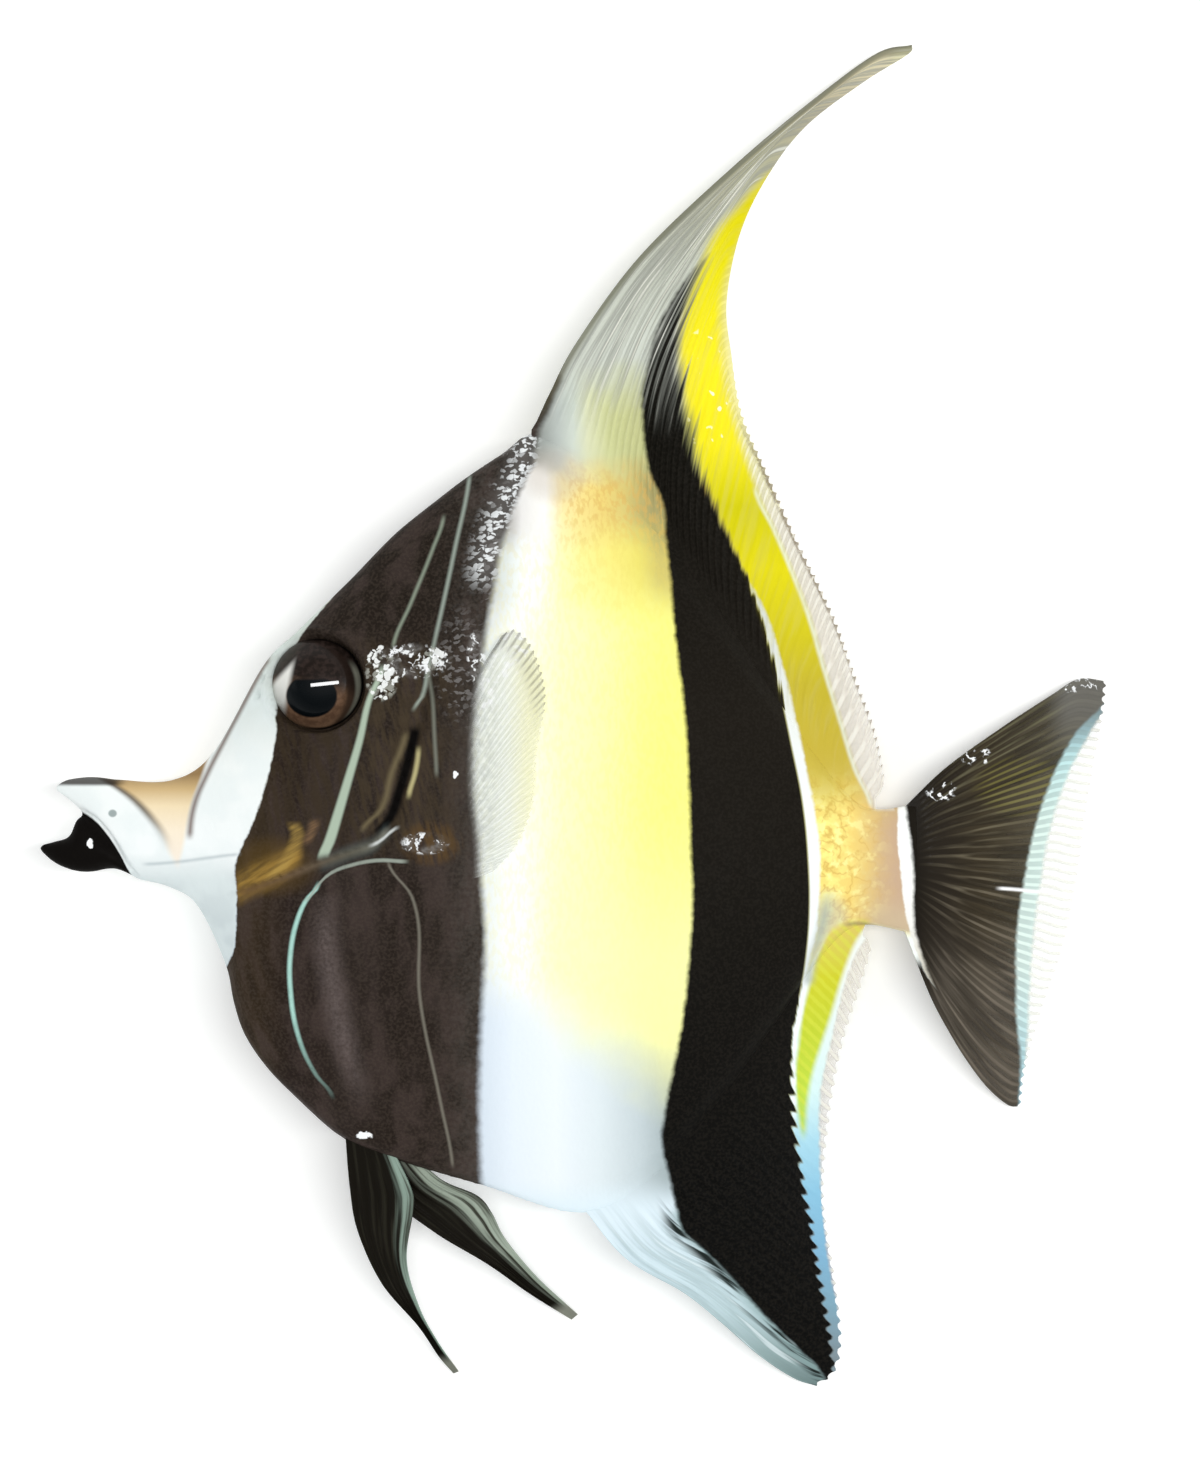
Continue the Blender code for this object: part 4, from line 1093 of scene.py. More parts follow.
def stalk_colour(fish):
    """Gold curls and veins, duller below, and a grey painted shade at the anal fin's foot."""
    x_soft = fish["x_soft"]
    curls = grain(fish, 1.1, 4.0)
    on_stalk = outside(past(x_soft, 27.6, 3.4))
    from_vein = add("Math", {0: grain(fish, 1.5, 2.5), 1: 0.5}, operation="SUBTRACT")
    from_vein = add("Math", {0: from_vein}, operation="ABSOLUTE")
    veins = both(outside(past(from_vein, 0.02, 0.045)), past(curls, 0.44, 0.08))
    below = both(outside(past(fish["y"], -18.2, 1.8)), past(x_soft, 27.2, 2.4))
    return lay_coats(ramp(x_soft, STALK), (
        (both(past(curls, 0.53, 0.06), on_stalk), "#E8BF62", 0.4),
        (both(veins, on_stalk), "#CDA046", 0.75),
        (both(outside(past(curls, 0.42, 0.05)), on_stalk), "#FFF6A8", 0.6),
        (below, "#CFBC9C", 0.7),
        # Painted shade at the anal fin's foot.
        (patch(fish, (23.6, -19.8), (2.0, 2.8), 0.98), "#B9C2B6", 0.55),
    ))


def paint_back(fish, colour):
    yellow = coat_of(stalk_colour(fish), past(fish["y_soft"], -7.5, 3.5), ramp(fish["y"], YELLOW_FIN))
    on_back = both(fish["behind bands"], past(fish["y"], fish["over belly"], 0.5))
    return coat_of(colour, on_back, yellow)


print("steps of yellow up the dorsal fin:", len(YELLOW_FIN))

# %% [markdown]
# ## Anal fin
# The anal fin is black where the rear band runs over it. Behind the band it is pale blue with a
# yellow-green stripe of slanting bars, which a sine wave draws. In front of the band a pale
# strip follows the leading edge.

# %% Paint the anal fin
ANAL_EDGE = (
    (-62, "#7E8C93"), (-57, "#7EA3B4"), (-52, "#7FB0CD"), (-46, "#8AC0DA"), (-41, "#A8D6E6"),
    (-36, "#D6F0EE"), (-24, "#F1F6F0"),
)
ANAL_GREEN = ((-41, "#A9CF66"), (-36, "#BFDA48"), (-30, "#C4D238"), (-25, "#CFCE30"), (-20, "#DCC868"))
ANAL_STRIP = (
    (-64.5, "#6D8180"), (-61, "#93A9A9"), (-57, "#BED3D7"), (-53, "#D0E3E9"), (-48, "#DFEEF5")
)
GREEN_BARS = 5.2  # radians to each millimetre of x + y


def paint_anal_fin(fish, colour):
    """The pale hind edge, the yellow-green stripe and the strip in front of the band."""
    y, plain, over_belly = fish["y"], fish["plain"], fish["over belly"]
    stripe = without(behind(plain, ANAL_YELLOW_FRONT, 0.35), behind(plain, ANAL_YELLOW_REAR, 0.4))
    fin_top = add("Math", {0: over_belly, 1: 0.5}, operation="ADD")
    stripe = both(without(stripe, past(y, fin_top, 0.5)), past(y, -40.2, 1.0))
    bars = add("Math", {0: fish["x"], 1: y}, operation="ADD")
    bars = add("Math", {0: both(bars, GREEN_BARS)}, operation="SINE")
    front_edge = [p for p in REAR_BAR_FRONT if p[1] < -44]
    return lay_coats(colour, (
        (without(fish["behind bands"], past(y, over_belly, 0.5)), ramp(y, ANAL_EDGE)),
        (stripe, coat_of(ramp(y, ANAL_GREEN), past(bars, 0.2, 0.7), "#DCE24E", 0.4)),
        (without(outside(fish["past rear front"]), past(y, -45.5, 2.0)), ramp(y, ANAL_STRIP)),
        (thin_line(fish, front_edge, 1.2, 1.0), "#7F9C9B", 0.7),
    ))


print("steps of green along the stripe:", len(ANAL_GREEN))

# %% [markdown]
# ## White edgings
# A narrow white band follows the rear border of the black one, and a second one marks the foot
# of the tail fin. Grey lines shade the fold at the anal fin's foot and the stalk's under side.

# %% Paint the white edgings
WHITE_EDGING = ((-38, "#F4FAFC"), (-12, "#F4F8F6"), (0, "#E6EAE6"), (12, "#CDD2CC"))
TAIL_FOOT = ((-27, "#B9B3A2"), (-23, "#D9D5C8"), (-20, "#F4F3EC"), (-12, "#F8F9F5"))


def paint_edgings(fish, colour):
    y, plain = fish["y"], fish["plain"]
    edging = both(fish["behind bands"], past(y, -38.5, 2.0))
    edging = without(without(edging, behind(fish, WHITE_BAND_REAR, 0.2)), past(y, 12.5, 2.5))
    return lay_coats(colour, (
        (edging, ramp(y, WHITE_EDGING)),
        (without(thin_line(plain, FOOT_SHADE, 0.9, 0.7), past(y, -17.6, 1.6)), "#A4AEA6", 0.8),
        (level_line(plain, STALK_UNDERSIDE, 0.35, 0.2), "#8C7B5E", 0.6),
        (fish["tail foot"], ramp(y, TAIL_FOOT)),
    ))


print("the white edging runs up to y =", WHITE_EDGING[-1][0], "mm")

# %% [markdown]
# ## Black bands
# The rear band is nearly pure black. The front one is a warm brown-black, with upright streaks
# that follow the rows of scales and a frosted bloom towards its rear border.

# %% Paint the two bands
NIGHT = ((-45, "#060605"), (-25, "#100E0A"), (0, "#1A1610"), (15, "#120F09"), (30, "#090803"))
BROWN = (
    (-35, "#33281B"), (-30, "#33281B"), (-27, "#241B17"), (-22, "#2E2622"), (-17, "#221B16"),
    (-12, "#2A231E"), (-8.5, "#3C3732"),
)


def paint_bands(fish, colour):
    x, plain, speckle = fish["x"], fish["plain"], fish["speckle"]
    upright = grain(plain, 1.0, 3.0, (0.45, 0.09, 1.0))
    brown = lay_coats(ramp(x, BROWN), (
        (past(fish["y"], 4.0, 8.0), "#1D1812", 0.85),
        (past(upright, 0.54, 0.12), "#463A36", 0.5),
        (outside(past(upright, 0.44, 0.1)), "#231B16", 0.5),
        (speckle, "#4A4038", 0.3),
        (both(past(x, -11.5, 3.0), past(grain(plain, 0.4, 3.0), 0.5, 0.2)), "#67625C", 0.2),
    ))
    return lay_coats(colour, (
        (fish["rear band"], coat_of(ramp(fish["y"], NIGHT), speckle, "#2C2822", 0.25)),
        (fish["front band"], brown),
    ))


print("browns of the front band:", len(BROWN))

# %% [markdown]
# ## Tail fin
# The tail is dusky and gets paler outwards, with a pale blue crescent and a clear margin.

# %% Paint the tail fin
DUSK = ((32, "#1A1610"), (35, "#2B251D"), (39, "#403829"), (43, "#4C4536"), (48, "#5E5948"))
CRESCENT = (
    (-36, "#9CC3D0"), (-30, "#C6E2E2"), (-24, "#E0F0E8"), (-10, "#DBEEE5"), (-4, "#BFE2E2"),
    (1, "#93C8DA"),
)


def paint_tail(fish, colour):
    low = without(past(fish["x"], 34.0, 2.0), past(fish["y"], -23.0, 5.0))
    return lay_coats(colour, (
        (fish["tail dark"], coat_of(ramp(fish["x"], DUSK), low, "#6E665B", 0.45)),
        (fish["crescent"], ramp(fish["y"], CRESCENT)),
        (fish["tail margin"], "#EFF1EA"),
    ))


print("colours of the tail:", len(DUSK) + len(CRESCENT))

# %% [markdown]
# ## Clear margins
# The hind margins of the dorsal and anal fins are clear, and a fine pale line edges the yellow.
# The mask of what is clear is kept, because the membrane's alpha needs it too.

# %% Paint the clear margins
CLEAR_MARGIN = (
    (-62, "#C2BEC4"), (-25, "#E9E2D6"), (0, "#EAE3D8"), (18, "#EAE3D2"), (24, "#F3EEB0"),
    (45, "#F5F0C0"),
)


def paint_margins(fish, colour):
    """Gives the colour and the mask of all clear margins."""
    y, plain = fish["y"], fish["plain"]
    faded = add("MapRange", {0: y, 1: 20.0, 2: 30.0, 3: 0.35, 4: 1.1})
    dorsal_clear = both(behind(plain, DORSAL_CLEAR_EDGE, faded), past(y, -9.0, 0.3))
    anal_clear = without(behind(fish, ANAL_CLEAR_EDGE, 0.25), past(y, -21.2, 0.2))
    clear = without(either(dorsal_clear, anal_clear), fish["tail"])
    edge = [(px - 0.2, py) for px, py in DORSAL_CLEAR_EDGE if py < 24]
    colour = lay_coats(colour, (
        (clear, ramp(y, CLEAR_MARGIN)),
        (thin_line(plain, edge, 0.35, 0.25), "#E9F0E2", 0.8),
    ))
    return colour, either(clear, fish["tail margin"])


print("tints of the clear margins:", len(CLEAR_MARGIN))

# %% [markdown]
# ## Face and cheek
# The face in front of the band is white. On the brown cheek run fine fibres, and golden flames
# lick up from the corner of the throat. Both are noise drawn out into streaks at an angle.

# %% Paint the face and the cheek
FACE = (
    (-28, "#C9D3D6"), (-20, "#C9D3D4"), (-15.5, "#D6DFDF"), (-13, "#F4F8F7"), (-5, "#F1F5F2"),
    (1, "#D6DEDA"), (10, "#B9C2B6"),
)


def turned_streaks(place, degrees, width, length):
    """Noise drawn out into streaks at an angle to the fish's length, sizes in millimetres."""
    turned = add("VectorRotate", {0: place["mm"], 3: math.radians(degrees)}, rotation_type="Z_AXIS")
    scaled = add("Mapping", {0: turned, 3: (1.0 / length, 1.0 / width, 1.0)})
    return add("TexNoise", {0: scaled, 2: 1.0, 3: 3.0})


def paint_face(place, colour, dark):
    face = past(grain(place, 3.0, 2.0), 0.5, 0.15)
    face = coat_of(ramp(place["y"], FACE), face, "#E3ECEB", 0.4)
    return coat_of(colour, without(outside(past(place["x"], -24.0, 1.0)), dark), face)


def paint_cheek(place, colour, dark):
    """Brown fibres over the cheek and golden flames at the throat."""
    x, y = place["x"], place["y"]
    fibres = turned_streaks(place, 75, 0.5, 2.4)
    cheek = both(dark, both(outside(past(x, -12.0, 3.0)), between(y, -12.5, 6.0, 2.5)))
    licks = turned_streaks(place, -30, 0.4, 3.0)
    licks = both(add("MapRange", {0: licks, 1: 0.35, 2: 0.6, 3: 0.4, 4: 1.0}), dark)
    rear_amber = both(patch(place, (-13.6, -12.0), (2.6, 1.9), 0.6), past(fibres, 0.45, 0.15))
    coats = [
        (both(cheek, past(fibres, 0.48, 0.2)), "#372D20", 0.75),
        (both(both(cheek, past(x, -20.0, 2.0)), past(fibres, 0.5, 0.2)), "#554938", 0.3),
        (both(patch(place, (-28.6, -14.2), (3.6, 2.4), 0.98), dark), "#57431F", 0.6),
        (both(level_line(place, AMBER_GLOW, 2.1, 1.2), licks), "#9C7B3A"),
    ]
    for points, width, shade in AMBER_LICKS:
        coats.append((both(thin_line(place, points, width, 0.4), licks), shade, 0.85))
    coats.append((both(rear_amber, dark), "#594326", 0.7))
    return lay_coats(colour, coats)


print("flames at the throat:", len(AMBER_LICKS))

# %% [markdown]
# ## Saddle and lips
# The snout wears a tan saddle with a dark front edge. A brown line climbs the forehead. The
# lower lip is black, and a dark line tops the upper one.

# %% Paint the snout
TAN = ((-14, "#F6EBDC"), (-11, "#F8EAD2"), (-8.6, "#F0DCB6"), (-7, "#CDB07F"), (-5.6, "#957850"))


def paint_saddle(place, colour):
    saddle = without(behind(place, SADDLE_FRONT, 0.45), behind(place, SADDLE_REAR, 0.3))
    saddle = both(without(saddle, past(place["x"], -33.2, 0.4)), past(place["y"], -14.2, 0.8))
    rim = both(thin_line(place, SADDLE_FRONT, 0.8, 0.5), past(place["y"], -11.0, 2.5))
    forehead = [(px + 0.4, py) for px, py in FOREHEAD_EDGE]
    return lay_coats(colour, (
        (saddle, ramp(place["y"], TAN)),
        (rim, "#4A3B2C", 0.85),
        (thin_line(place, forehead, 0.5, 0.35), "#5F4033", 0.85),
    ))


def paint_lips(place, colour):
    """Gives the colour and the mask of the black lower lip."""
    x, y = place["x"], place["y"]
    under_lip = outside(past(y, border(x, LIP_BORDER), 0.12))
    under_lip = without(under_lip, past(x, -41.8, 0.2))
    colour = lay_coats(colour, (
        (under_lip, "#0B0806"),
        # Painted shade in the fold under the chin.
        (level_line(place, CHIN_FOLD, 0.25, 0.2), "#97A5AB", 0.55),
        (both(past(y, -6.65, 0.2), outside(past(x, -43.2, 0.8))), "#2F2822", 0.9),
        (patch(place, (-43.9, -9.3), (0.4, 0.35), 0.5), "#7F8F8E", 0.8),
    ))
    return colour, under_lip


print("steps of the saddle's tan:", len(TAN))

# %% [markdown]
# ## Fine lines of the head
# Thin pale lines run down the cheek, the nape and the shoulder, and a painted shadow fills the
# slit behind the gill cover. Last come the painted sheen on the breast, and the painted sheen,
# highlight and glint along the wet fold under the cheek.

# %% Paint the fine lines
# Each line: its points, width, softness, colour and strength.
FINE_LINES = (
    (NAPE_LINE_FRONT, 0.3, 0.2, "#9AA693", 0.7),
    (NAPE_LINE_REAR, 0.32, 0.2, "#A5B1A5", 0.75),
    (SHOULDER_LINE, 0.3, 0.2, "#8B8F82", 0.6),
    (GILL_SHADOW, 0.95, 0.3, "#050302", 1.0),
    (GILL_STRIP, 0.4, 0.2, "#C3B986", 0.9),
    (CHEEK_RIDGE, 0.5, 0.35, "#766A4E", 0.7),
    (FLANK_SEAM, 0.26, 0.15, "#8B877A", 0.6),
)
# Painted highlight along the gill cover's lower fold, brown in front and grey behind.
FOLD_HIGHLIGHT_COLOURS = ((-31, "#6E5537"), (-26, "#6F5D4A"), (-21, "#6A6658"), (-17, "#8C8C80"))


def paint_fine_lines(place, colour):
    tapered = add("MapRange", {0: place["y"], 1: -12.0, 2: 1.0, 3: 1.0, 4: 0.5})
    colour = coat_of(colour, thin_line(place, CHEEK_STRIPE, tapered, 0.18), "#AABAA6")
    for points, width, soft, shade, strength in FINE_LINES:
        colour = coat_of(colour, thin_line(place, points, width, soft), shade, strength)
    return colour


def paint_folds(place, colour, dark):
    """Painted sheen on the breast, the shoulder's pale edge, and painted light on the wet cheek fold."""
    y = place["y"]
    sheen = both(thin_line(place, BREAST_SHEEN, 1.7, 1.3), between(y, -34.5, -18.0, 4.0))
    patchy = add("MapRange", {0: grain(place, 0.3, 2.0), 1: 0.3, 2: 0.7, 3: 0.25, 4: 0.6})
    edge_front = [p for p in SHOULDER_EDGE if p[1] < -15.0]
    edge_top = [p for p in SHOULDER_EDGE if p[1] > -17.5]
    fading = add("MapRange", {0: y, 1: -35.5, 2: -28.0, 3: 0.15, 4: 1.0})
    painted_wet_sheen = level_line(place, [p for p in COVER_FOLD if p[0] > -26.0], 1.3, 0.6)
    return lay_coats(colour, (
        (both(sheen, patchy), "#756966"),
        (both(thin_line(place, edge_front, 0.42, 0.16), fading), "#AEDACE"),
        (level_line(place, edge_top, 0.32), "#A3ACA0", 0.8),
        # A grey painted sheen of the wet skin along the fold.
        (both(painted_wet_sheen, dark), "#56605E", 0.5),
        # Painted highlight along the fold's ridge.
        (both(level_line(place, COVER_FOLD, 0.6, 0.45), dark), ramp(place["x"], FOLD_HIGHLIGHT_COLOURS), 0.85),
        (both(level_line(place, FOLD_GLINT, 0.3, 0.15), dark), "#E4E9E6", 0.85),
    ))


print("fine lines of the head:", len(FINE_LINES) + 1)

# %% [markdown]
# ## The markings in one group
# All the coats go on in the order a painter would use: the pale ground, then yellow, the white
# edgings, the black bands, and last the head's fine lines; painted shade, shadow, sheen and
# highlights are among them. They sit in one node group, which the skin and every fin share, so a
# band runs on from the body into the fin without a step. The group also gives two masks, one for
# the black skin and one for the clear margins of the fins.


# %% Join all the coats
def markings_group():
    tree = bpy.data.node_groups.new("moorish idol markings and painted light", "ShaderNodeTree")
    tree.interface.new_socket("Shift", in_out="INPUT", socket_type="NodeSocketFloat")
    tree.interface.new_socket("Color", in_out="OUTPUT", socket_type="NodeSocketColor")
    for name in ("Dark", "Clear"):
        tree.interface.new_socket(name, in_out="OUTPUT", socket_type="NodeSocketFloat")
    shift = tree.nodes.new("NodeGroupInput").outputs["Shift"]
    place = mm_place(tree)
    fish = fish_masks(place, shift)
    colour = paint_flank(fish)
    for layer in (paint_back, paint_anal_fin, paint_edgings, paint_bands, paint_tail):
        colour = layer(fish, colour)
    colour, clear = paint_margins(fish, colour)
    dark = either(fish["front band"], fish["rear band"])
    dark = either(dark, without(fish["tail dark"], fish["crescent"]))
    colour = paint_face(place, colour, dark)
    colour = paint_cheek(place, colour, dark)
    colour = paint_saddle(place, colour)
    colour, under_lip = paint_lips(place, colour)
    dark = either(dark, under_lip)
    colour = paint_fine_lines(place, colour)
    colour = paint_folds(place, colour, dark)
    fill(tree.nodes.new("NodeGroupOutput"), {"Color": colour, "Dark": dark, "Clear": clear})
    return tree


markings = markings_group()
print("nodes in the markings:", len(markings.nodes))

# %% [markdown]
# ## Water on the skin
# Water stands on a few places of the skin, and there the light breaks up in two ways. Where
# the film runs along folds it makes thin crooked lines, and where the scales stand free, some
# of them mirror the light whole. Real reflections of that size would sparkle differently at
# each view, so both are painted: lines where a noise passes its middle value, and cells of a
# Voronoi texture for the scales.

# %% Glints and mirroring scales
# Places of water, painted glints and painted reflections: middle and half widths in millimetres.
WET_SKIN = (((-15.4, 5.0), (3.0, 1.4)), ((-14.2, -12.0), (1.9, 0.9)), ((-9.4, 5.4), (0.8, 2.2)))
WET_FLAKES = (((-18.3, 3.8), (1.5, 2.4)), ((-13.3, 5.2), (1.2, 1.0)))
DULL_FLAKES = (((-10.6, 4.4), (2.4, 4.8)), ((-7.2, 13.0), (1.8, 4.0)))
WET_TAIL = (((38.1, -3.9), (1.4, 0.8)), ((34.7, -7.2), (1.3, 0.9)), ((47.4, 3.0), (3.0, 0.7)))
DROP_GLINTS = (((-46.1, -12.2), (0.3, 0.35)), ((-20.1, -39.7), (0.75, 0.35)), ((-11.3, -5.6), (0.25, 0.3)))


def any_patch(place, places, soft=0.9):
    """1 inside any of several ellipses."""
    masks = [patch(place, centre, radii, soft) for centre, radii in places]
    whole = masks[0]
    for mask in masks[1:]:
        whole = either(whole, mask)
    return whole


def glints(place, wet):
    """Thin crooked lines of light, as water makes them where it runs along folds in the skin."""
    folds = add("Math", {0: grain(place, 1.3, 3.0), 1: 0.5}, operation="SUBTRACT")
    folds = add("Math", {0: folds}, operation="ABSOLUTE")
    lines = both(outside(past(folds, 0.025, 0.015)), past(grain(place, 0.9, 2.0), 0.52, 0.04))
    blobs = both(past(grain(place, 0.8, 2.0), 0.62, 0.03), past(grain(place, 2.6, 1.0), 0.5, 0.05))
    return both(either(lines, blobs), past(wet, 0.35, 0.3))


def flakes(place, share, stretch):
    """1 on the scales that mirror the light whole, 0 on the others and in the gaps."""
    bend = add("MapRange", {0: grain(place, 0.7, 2.0), 3: -0.5, 4: 0.5})
    bent = add("VectorMath", {0: place["mm"], 1: bend}, operation="ADD")
    scaled = add("Mapping", {0: bent, 3: stretch})
    cells = add("TexVoronoi", {0: scaled, 2: 1.0}).node
    chance = add("SeparateXYZ", {0: cells.outputs["Color"]})
    return without(past(chance, 1.0 - share, 0.12), past(cells.outputs["Distance"], 0.55, 0.1))


def lay_flakes(place, colour, dark):
    """Painted sheen and painted mirroring scales along the front band's rear border and near the eye."""
    zone = behind(place, [(px - 2.2, py) for px, py in FRONT_BAR_REAR if py > 5.0], 1.3)
    zone = both(zone, between(place["y"], 12.6, 27.8, 1.6))
    zone = without(zone, behind(place, FRONT_BAR_REAR, 0.8))
    dull = both(any_patch(place, DULL_FLAKES), dark)
    torn = add("MapRange", {0: grain(place, 0.9, 2.0), 1: 0.35, 2: 0.65, 3: 0.3, 4: 1.3})
    wet = past(both(any_patch(place, WET_FLAKES), torn), 0.4, 0.25)
    blocks = past(both(wet, flakes(place, 0.6, (1.7, 1.7, 0.6))), 0.35, 0.2)
    return lay_coats(colour, (
        # A grey painted sheen, then scales with painted reflections, dim and bright.
        (both(zone, dark), "#6B6865", 0.55),
        (both(zone, flakes(place, 0.62, (1.6, 2.9, 0.6))), "#EEF1F1", 0.9),
        (both(dull, flakes(place, 0.42, (1.8, 3.2, 0.6))), "#8B8886", 0.5),
        (both(wet, flakes(place, 0.8, (2.1, 1.9, 0.6))), "#A9AAA0", 0.7),
        (blocks, "#EFF1EE", 0.92),
    ))


print("wet places:", len(WET_SKIN + WET_FLAKES + WET_TAIL + DROP_GLINTS))

# %% [markdown]
# ## Wet skin
# Live fish skin is smooth scales under a film of slime. A moorish idol's scales are tiny, like
# fine sandpaper, so they are drawn as bump and not as geometry: about one scale each half
# millimetre, longer up and down than along, which is coarser than real so that it shows. The
# film is a thin coat with low roughness over a rougher base, strongest where water stands.


# %% The skin material
def new_material(name):
    made = bpy.data.materials.new(name)
    made.use_nodes = True
    tree = made.node_tree
    return made, tree, tree.nodes["Principled BSDF"]


# Scaled skin under a film of water: a soft base with small sharp lights where it is wet,
# some of them painted glints and sheen.
def wet_skin():
    made, tree, shader = new_material("wet scaled fish skin")
    paintwork = add("Group", tree=tree, node_tree=markings).node
    dark = paintwork.outputs["Dark"]
    place = mm_place(tree)
    stretched = add("Mapping", {0: place["mm"], 3: (1.0, 0.6, 1.0)})
    ripples = grain(place, 1.6, 3.0)
    scales = add("TexVoronoi", {0: stretched, 2: 2.4})
    height = add("Math", {0: scales, 1: ripples}, operation="ADD")
    wet = any_patch(place, WET_SKIN)
    glinting_beads = both(grain(place, 1.1, 2.0), wet)
    uneven = add("MapRange", {0: grain(place, 0.5, 2.0), 3: -0.5, 4: 0.5})
    shaken = dict(place, y=add("Math", {0: place["y"], 1: uneven}, operation="ADD"))
    # A grey painted sheen over the dark skin where water stands.
    painted_sheen = both(both(wet, past(ripples, 0.5, 0.12)), dark)
    colour = coat_of(paintwork.outputs["Color"], painted_sheen, "#77736E", 0.5)
    colour = lay_flakes(place, colour, dark)
    colour = coat_of(colour, glints(place, wet), "#F4F6F6", 0.9)
    # White painted highlights of drops of water.
    colour = coat_of(colour, any_patch(shaken, DROP_GLINTS, 0.3), "#F6F8F8")
    film = both(past(wet, 0.5, 0.4), both(past(ripples, 0.52, 0.04), 0.35))
    fill(shader, {
        "Base Color": colour,
        "Roughness": add("MapRange", {0: ripples, 1: 0.35, 2: 0.65, 3: 0.55, 4: 0.65}),
        "Normal": add("Bump", {0: 0.35, 1: 0.06 * MM, "Height": height}),
        "Coat Normal": add("Bump", {0: 1.0, 1: 0.9 * MM, "Height": glinting_beads}),
        "Coat Weight": film,
    })
    fill(shader, {"IOR": 1.4, "Specular IOR Level": 0.07, "Coat IOR": 2.2, "Coat Roughness": 0.08})
    return made


skin.data.materials.append(wet_skin())
print("material of the skin:", skin.data.materials[0].name)

# %% [markdown]
# ## Places on a fin
# Fine streaks and rays follow a fin's own shape, so its materials need two more coordinates:
# the share across the fin and the share out along a ray, both from the UV map. A cosine of the
# first gives the rays, and a noise stretched along the second gives the streaks. Where a band's
# border crosses the fin, the streaks and the rays also tell it how far to wander.


# %% Rays, streaks and the shift of the borders
def along_rays(fin, across, out, detail):
    """Noise in streaks along the rays: how many across the fin, and how many along a ray."""
    uv = add("CombineXYZ", {0: fin["across"], 1: fin["out"]})
    scaled = add("Mapping", {0: uv, 3: (across, out, 1.0)})
    return add("TexNoise", {0: scaled, 2: 1.0, 3: detail})


def fin_place(tree, kind):
    """Millimetres and shares on a fin, a wave with a crest on each ray, and fine streaks."""
    rays, fork = FIN_RAYS[kind]
    fin = mm_place(tree)
    shares = add("SeparateXYZ", {0: add("UVMap", tree=tree, uv_map="rays")}).node
    fin["across"], fin["out"] = shares.outputs[0], shares.outputs[1]
    turns = both(fin["across"], 2 * math.pi * rays)
    single = add("Math", {0: turns}, operation="COSINE")
    double = add("Math", {0: both(turns, 2.0)}, operation="COSINE")
    forked = past(fin["out"], fork + 0.12, 0.12)
    fin["wave"] = add("Mix", {0: forked, 2: single, 3: both(double, -1.0)})
    fin["on ray"] = past(fin["wave"], 0.35, 0.45)
    fin["streaks"] = along_rays(fin, rays * 1.6, 2.0, 4.0)
    return fin


def border_shift(fin, ragged, comb):
    """How far a border wanders: with the streaks, more so higher up, and from ray to ray."""
    y = fin["y"]
    grown = add("MapRange", {0: y, 1: 15.0, 2: 32.0, 3: 1.0, 4: 3.2})
    steadied = add("MapRange", {0: y, 1: 40.0, 2: 48.0, 3: 0.0, 4: 2.4})
    grown = add("Math", {0: grown, 1: steadied}, operation="SUBTRACT")
    torn = add("MapRange", {0: fin["streaks"], 1: 0.3, 2: 0.7, 3: -ragged, 4: ragged})
    toothed = add("MapRange", {0: fin["wave"], 1: -1.0, 3: -comb, 4: comb})
    toothed = without(toothed, past(y, -34.0, 2.5))
    return add("Math", {0: both(torn, grown), 1: toothed}, operation="ADD")


print("share of a ray where the tail's rays fork:", FIN_RAYS["tail"][1])

# %% [markdown]
# ## Fin membrane
# A fin is two layers of skin over thin rays. The outer margin of the back and anal fins is
# almost as clear as glass. So the alpha falls where the markings say the margin is clear, and
# rises again on each ray. Each fin hands in a function that adds its own streaks and tints.


# %% The membrane material
def clear_alpha(fin, solid, see_through, ray_alpha, rim_alpha):
    """Alpha of the membrane: solid, but see-through in clear margins between rays and rim."""
    seen = {0: fin["on ray"], 3: see_through, 4: min(see_through + ray_alpha, 1.0)}
    alpha = add("Mix", {0: fin["clear"], 2: solid, 3: add("MapRange", seen)})
    return either(alpha, both(past(fin["out"], 0.95, 0.015), rim_alpha))


# Skin as thin as paper over the rays: matt, with a little film, and clear at the margin.
def membrane(
    name, kind, tint, see_through, ragged=0.3, comb=0.0, ray_alpha=0.45, rim_alpha=0.0, opacity=None
):
    """Membrane with the fish's markings, and streaks and tints of its own."""
    made, tree, shader = new_material(name)
    fin = fin_place(tree, kind)
    paintwork = add("Group", {0: border_shift(fin, ragged, comb)}, node_tree=markings).node
    fin["dark"], fin["clear"] = paintwork.outputs["Dark"], paintwork.outputs["Clear"]
    colour = tint(fin, paintwork.outputs["Color"])
    clear_ray = both(past(fin["wave"], 0.6, 0.35), fin["clear"])
    clear_ray = without(clear_ray, both(past(fin["out"], 0.94, 0.015), rim_alpha))
    solid = opacity(fin) if opacity else 1.0
    fill(shader, {
        "Base Color": coat_of(colour, clear_ray, "#F4F2E6", 0.8),
        "Alpha": clear_alpha(fin, solid, see_through, ray_alpha, rim_alpha),
        "Normal": add("Bump", {0: 0.3, 1: 0.04 * MM, "Height": fin["streaks"]}),
    })
    fill(shader, {"Roughness": 0.6, "IOR": 1.4, "Specular IOR Level": 0.07})
    fill(shader, {"Coat Weight": 0.02, "Coat Roughness": 0.12})
    return made


print("kinds of fin:", ", ".join(FIN_RAYS))

# %% [markdown]
# ## The dorsal fin's own streaks
# The streamer is streaked in blue-grey and cream, with a dark line along its leading edge. The
# clear margin behind the yellow has fine hairs and a broken brown rim.

# %% Tint the dorsal fin
LEADING_EDGE = ((27, "#3A352C"), (31, "#55503F"), (36, "#6C6C58"))


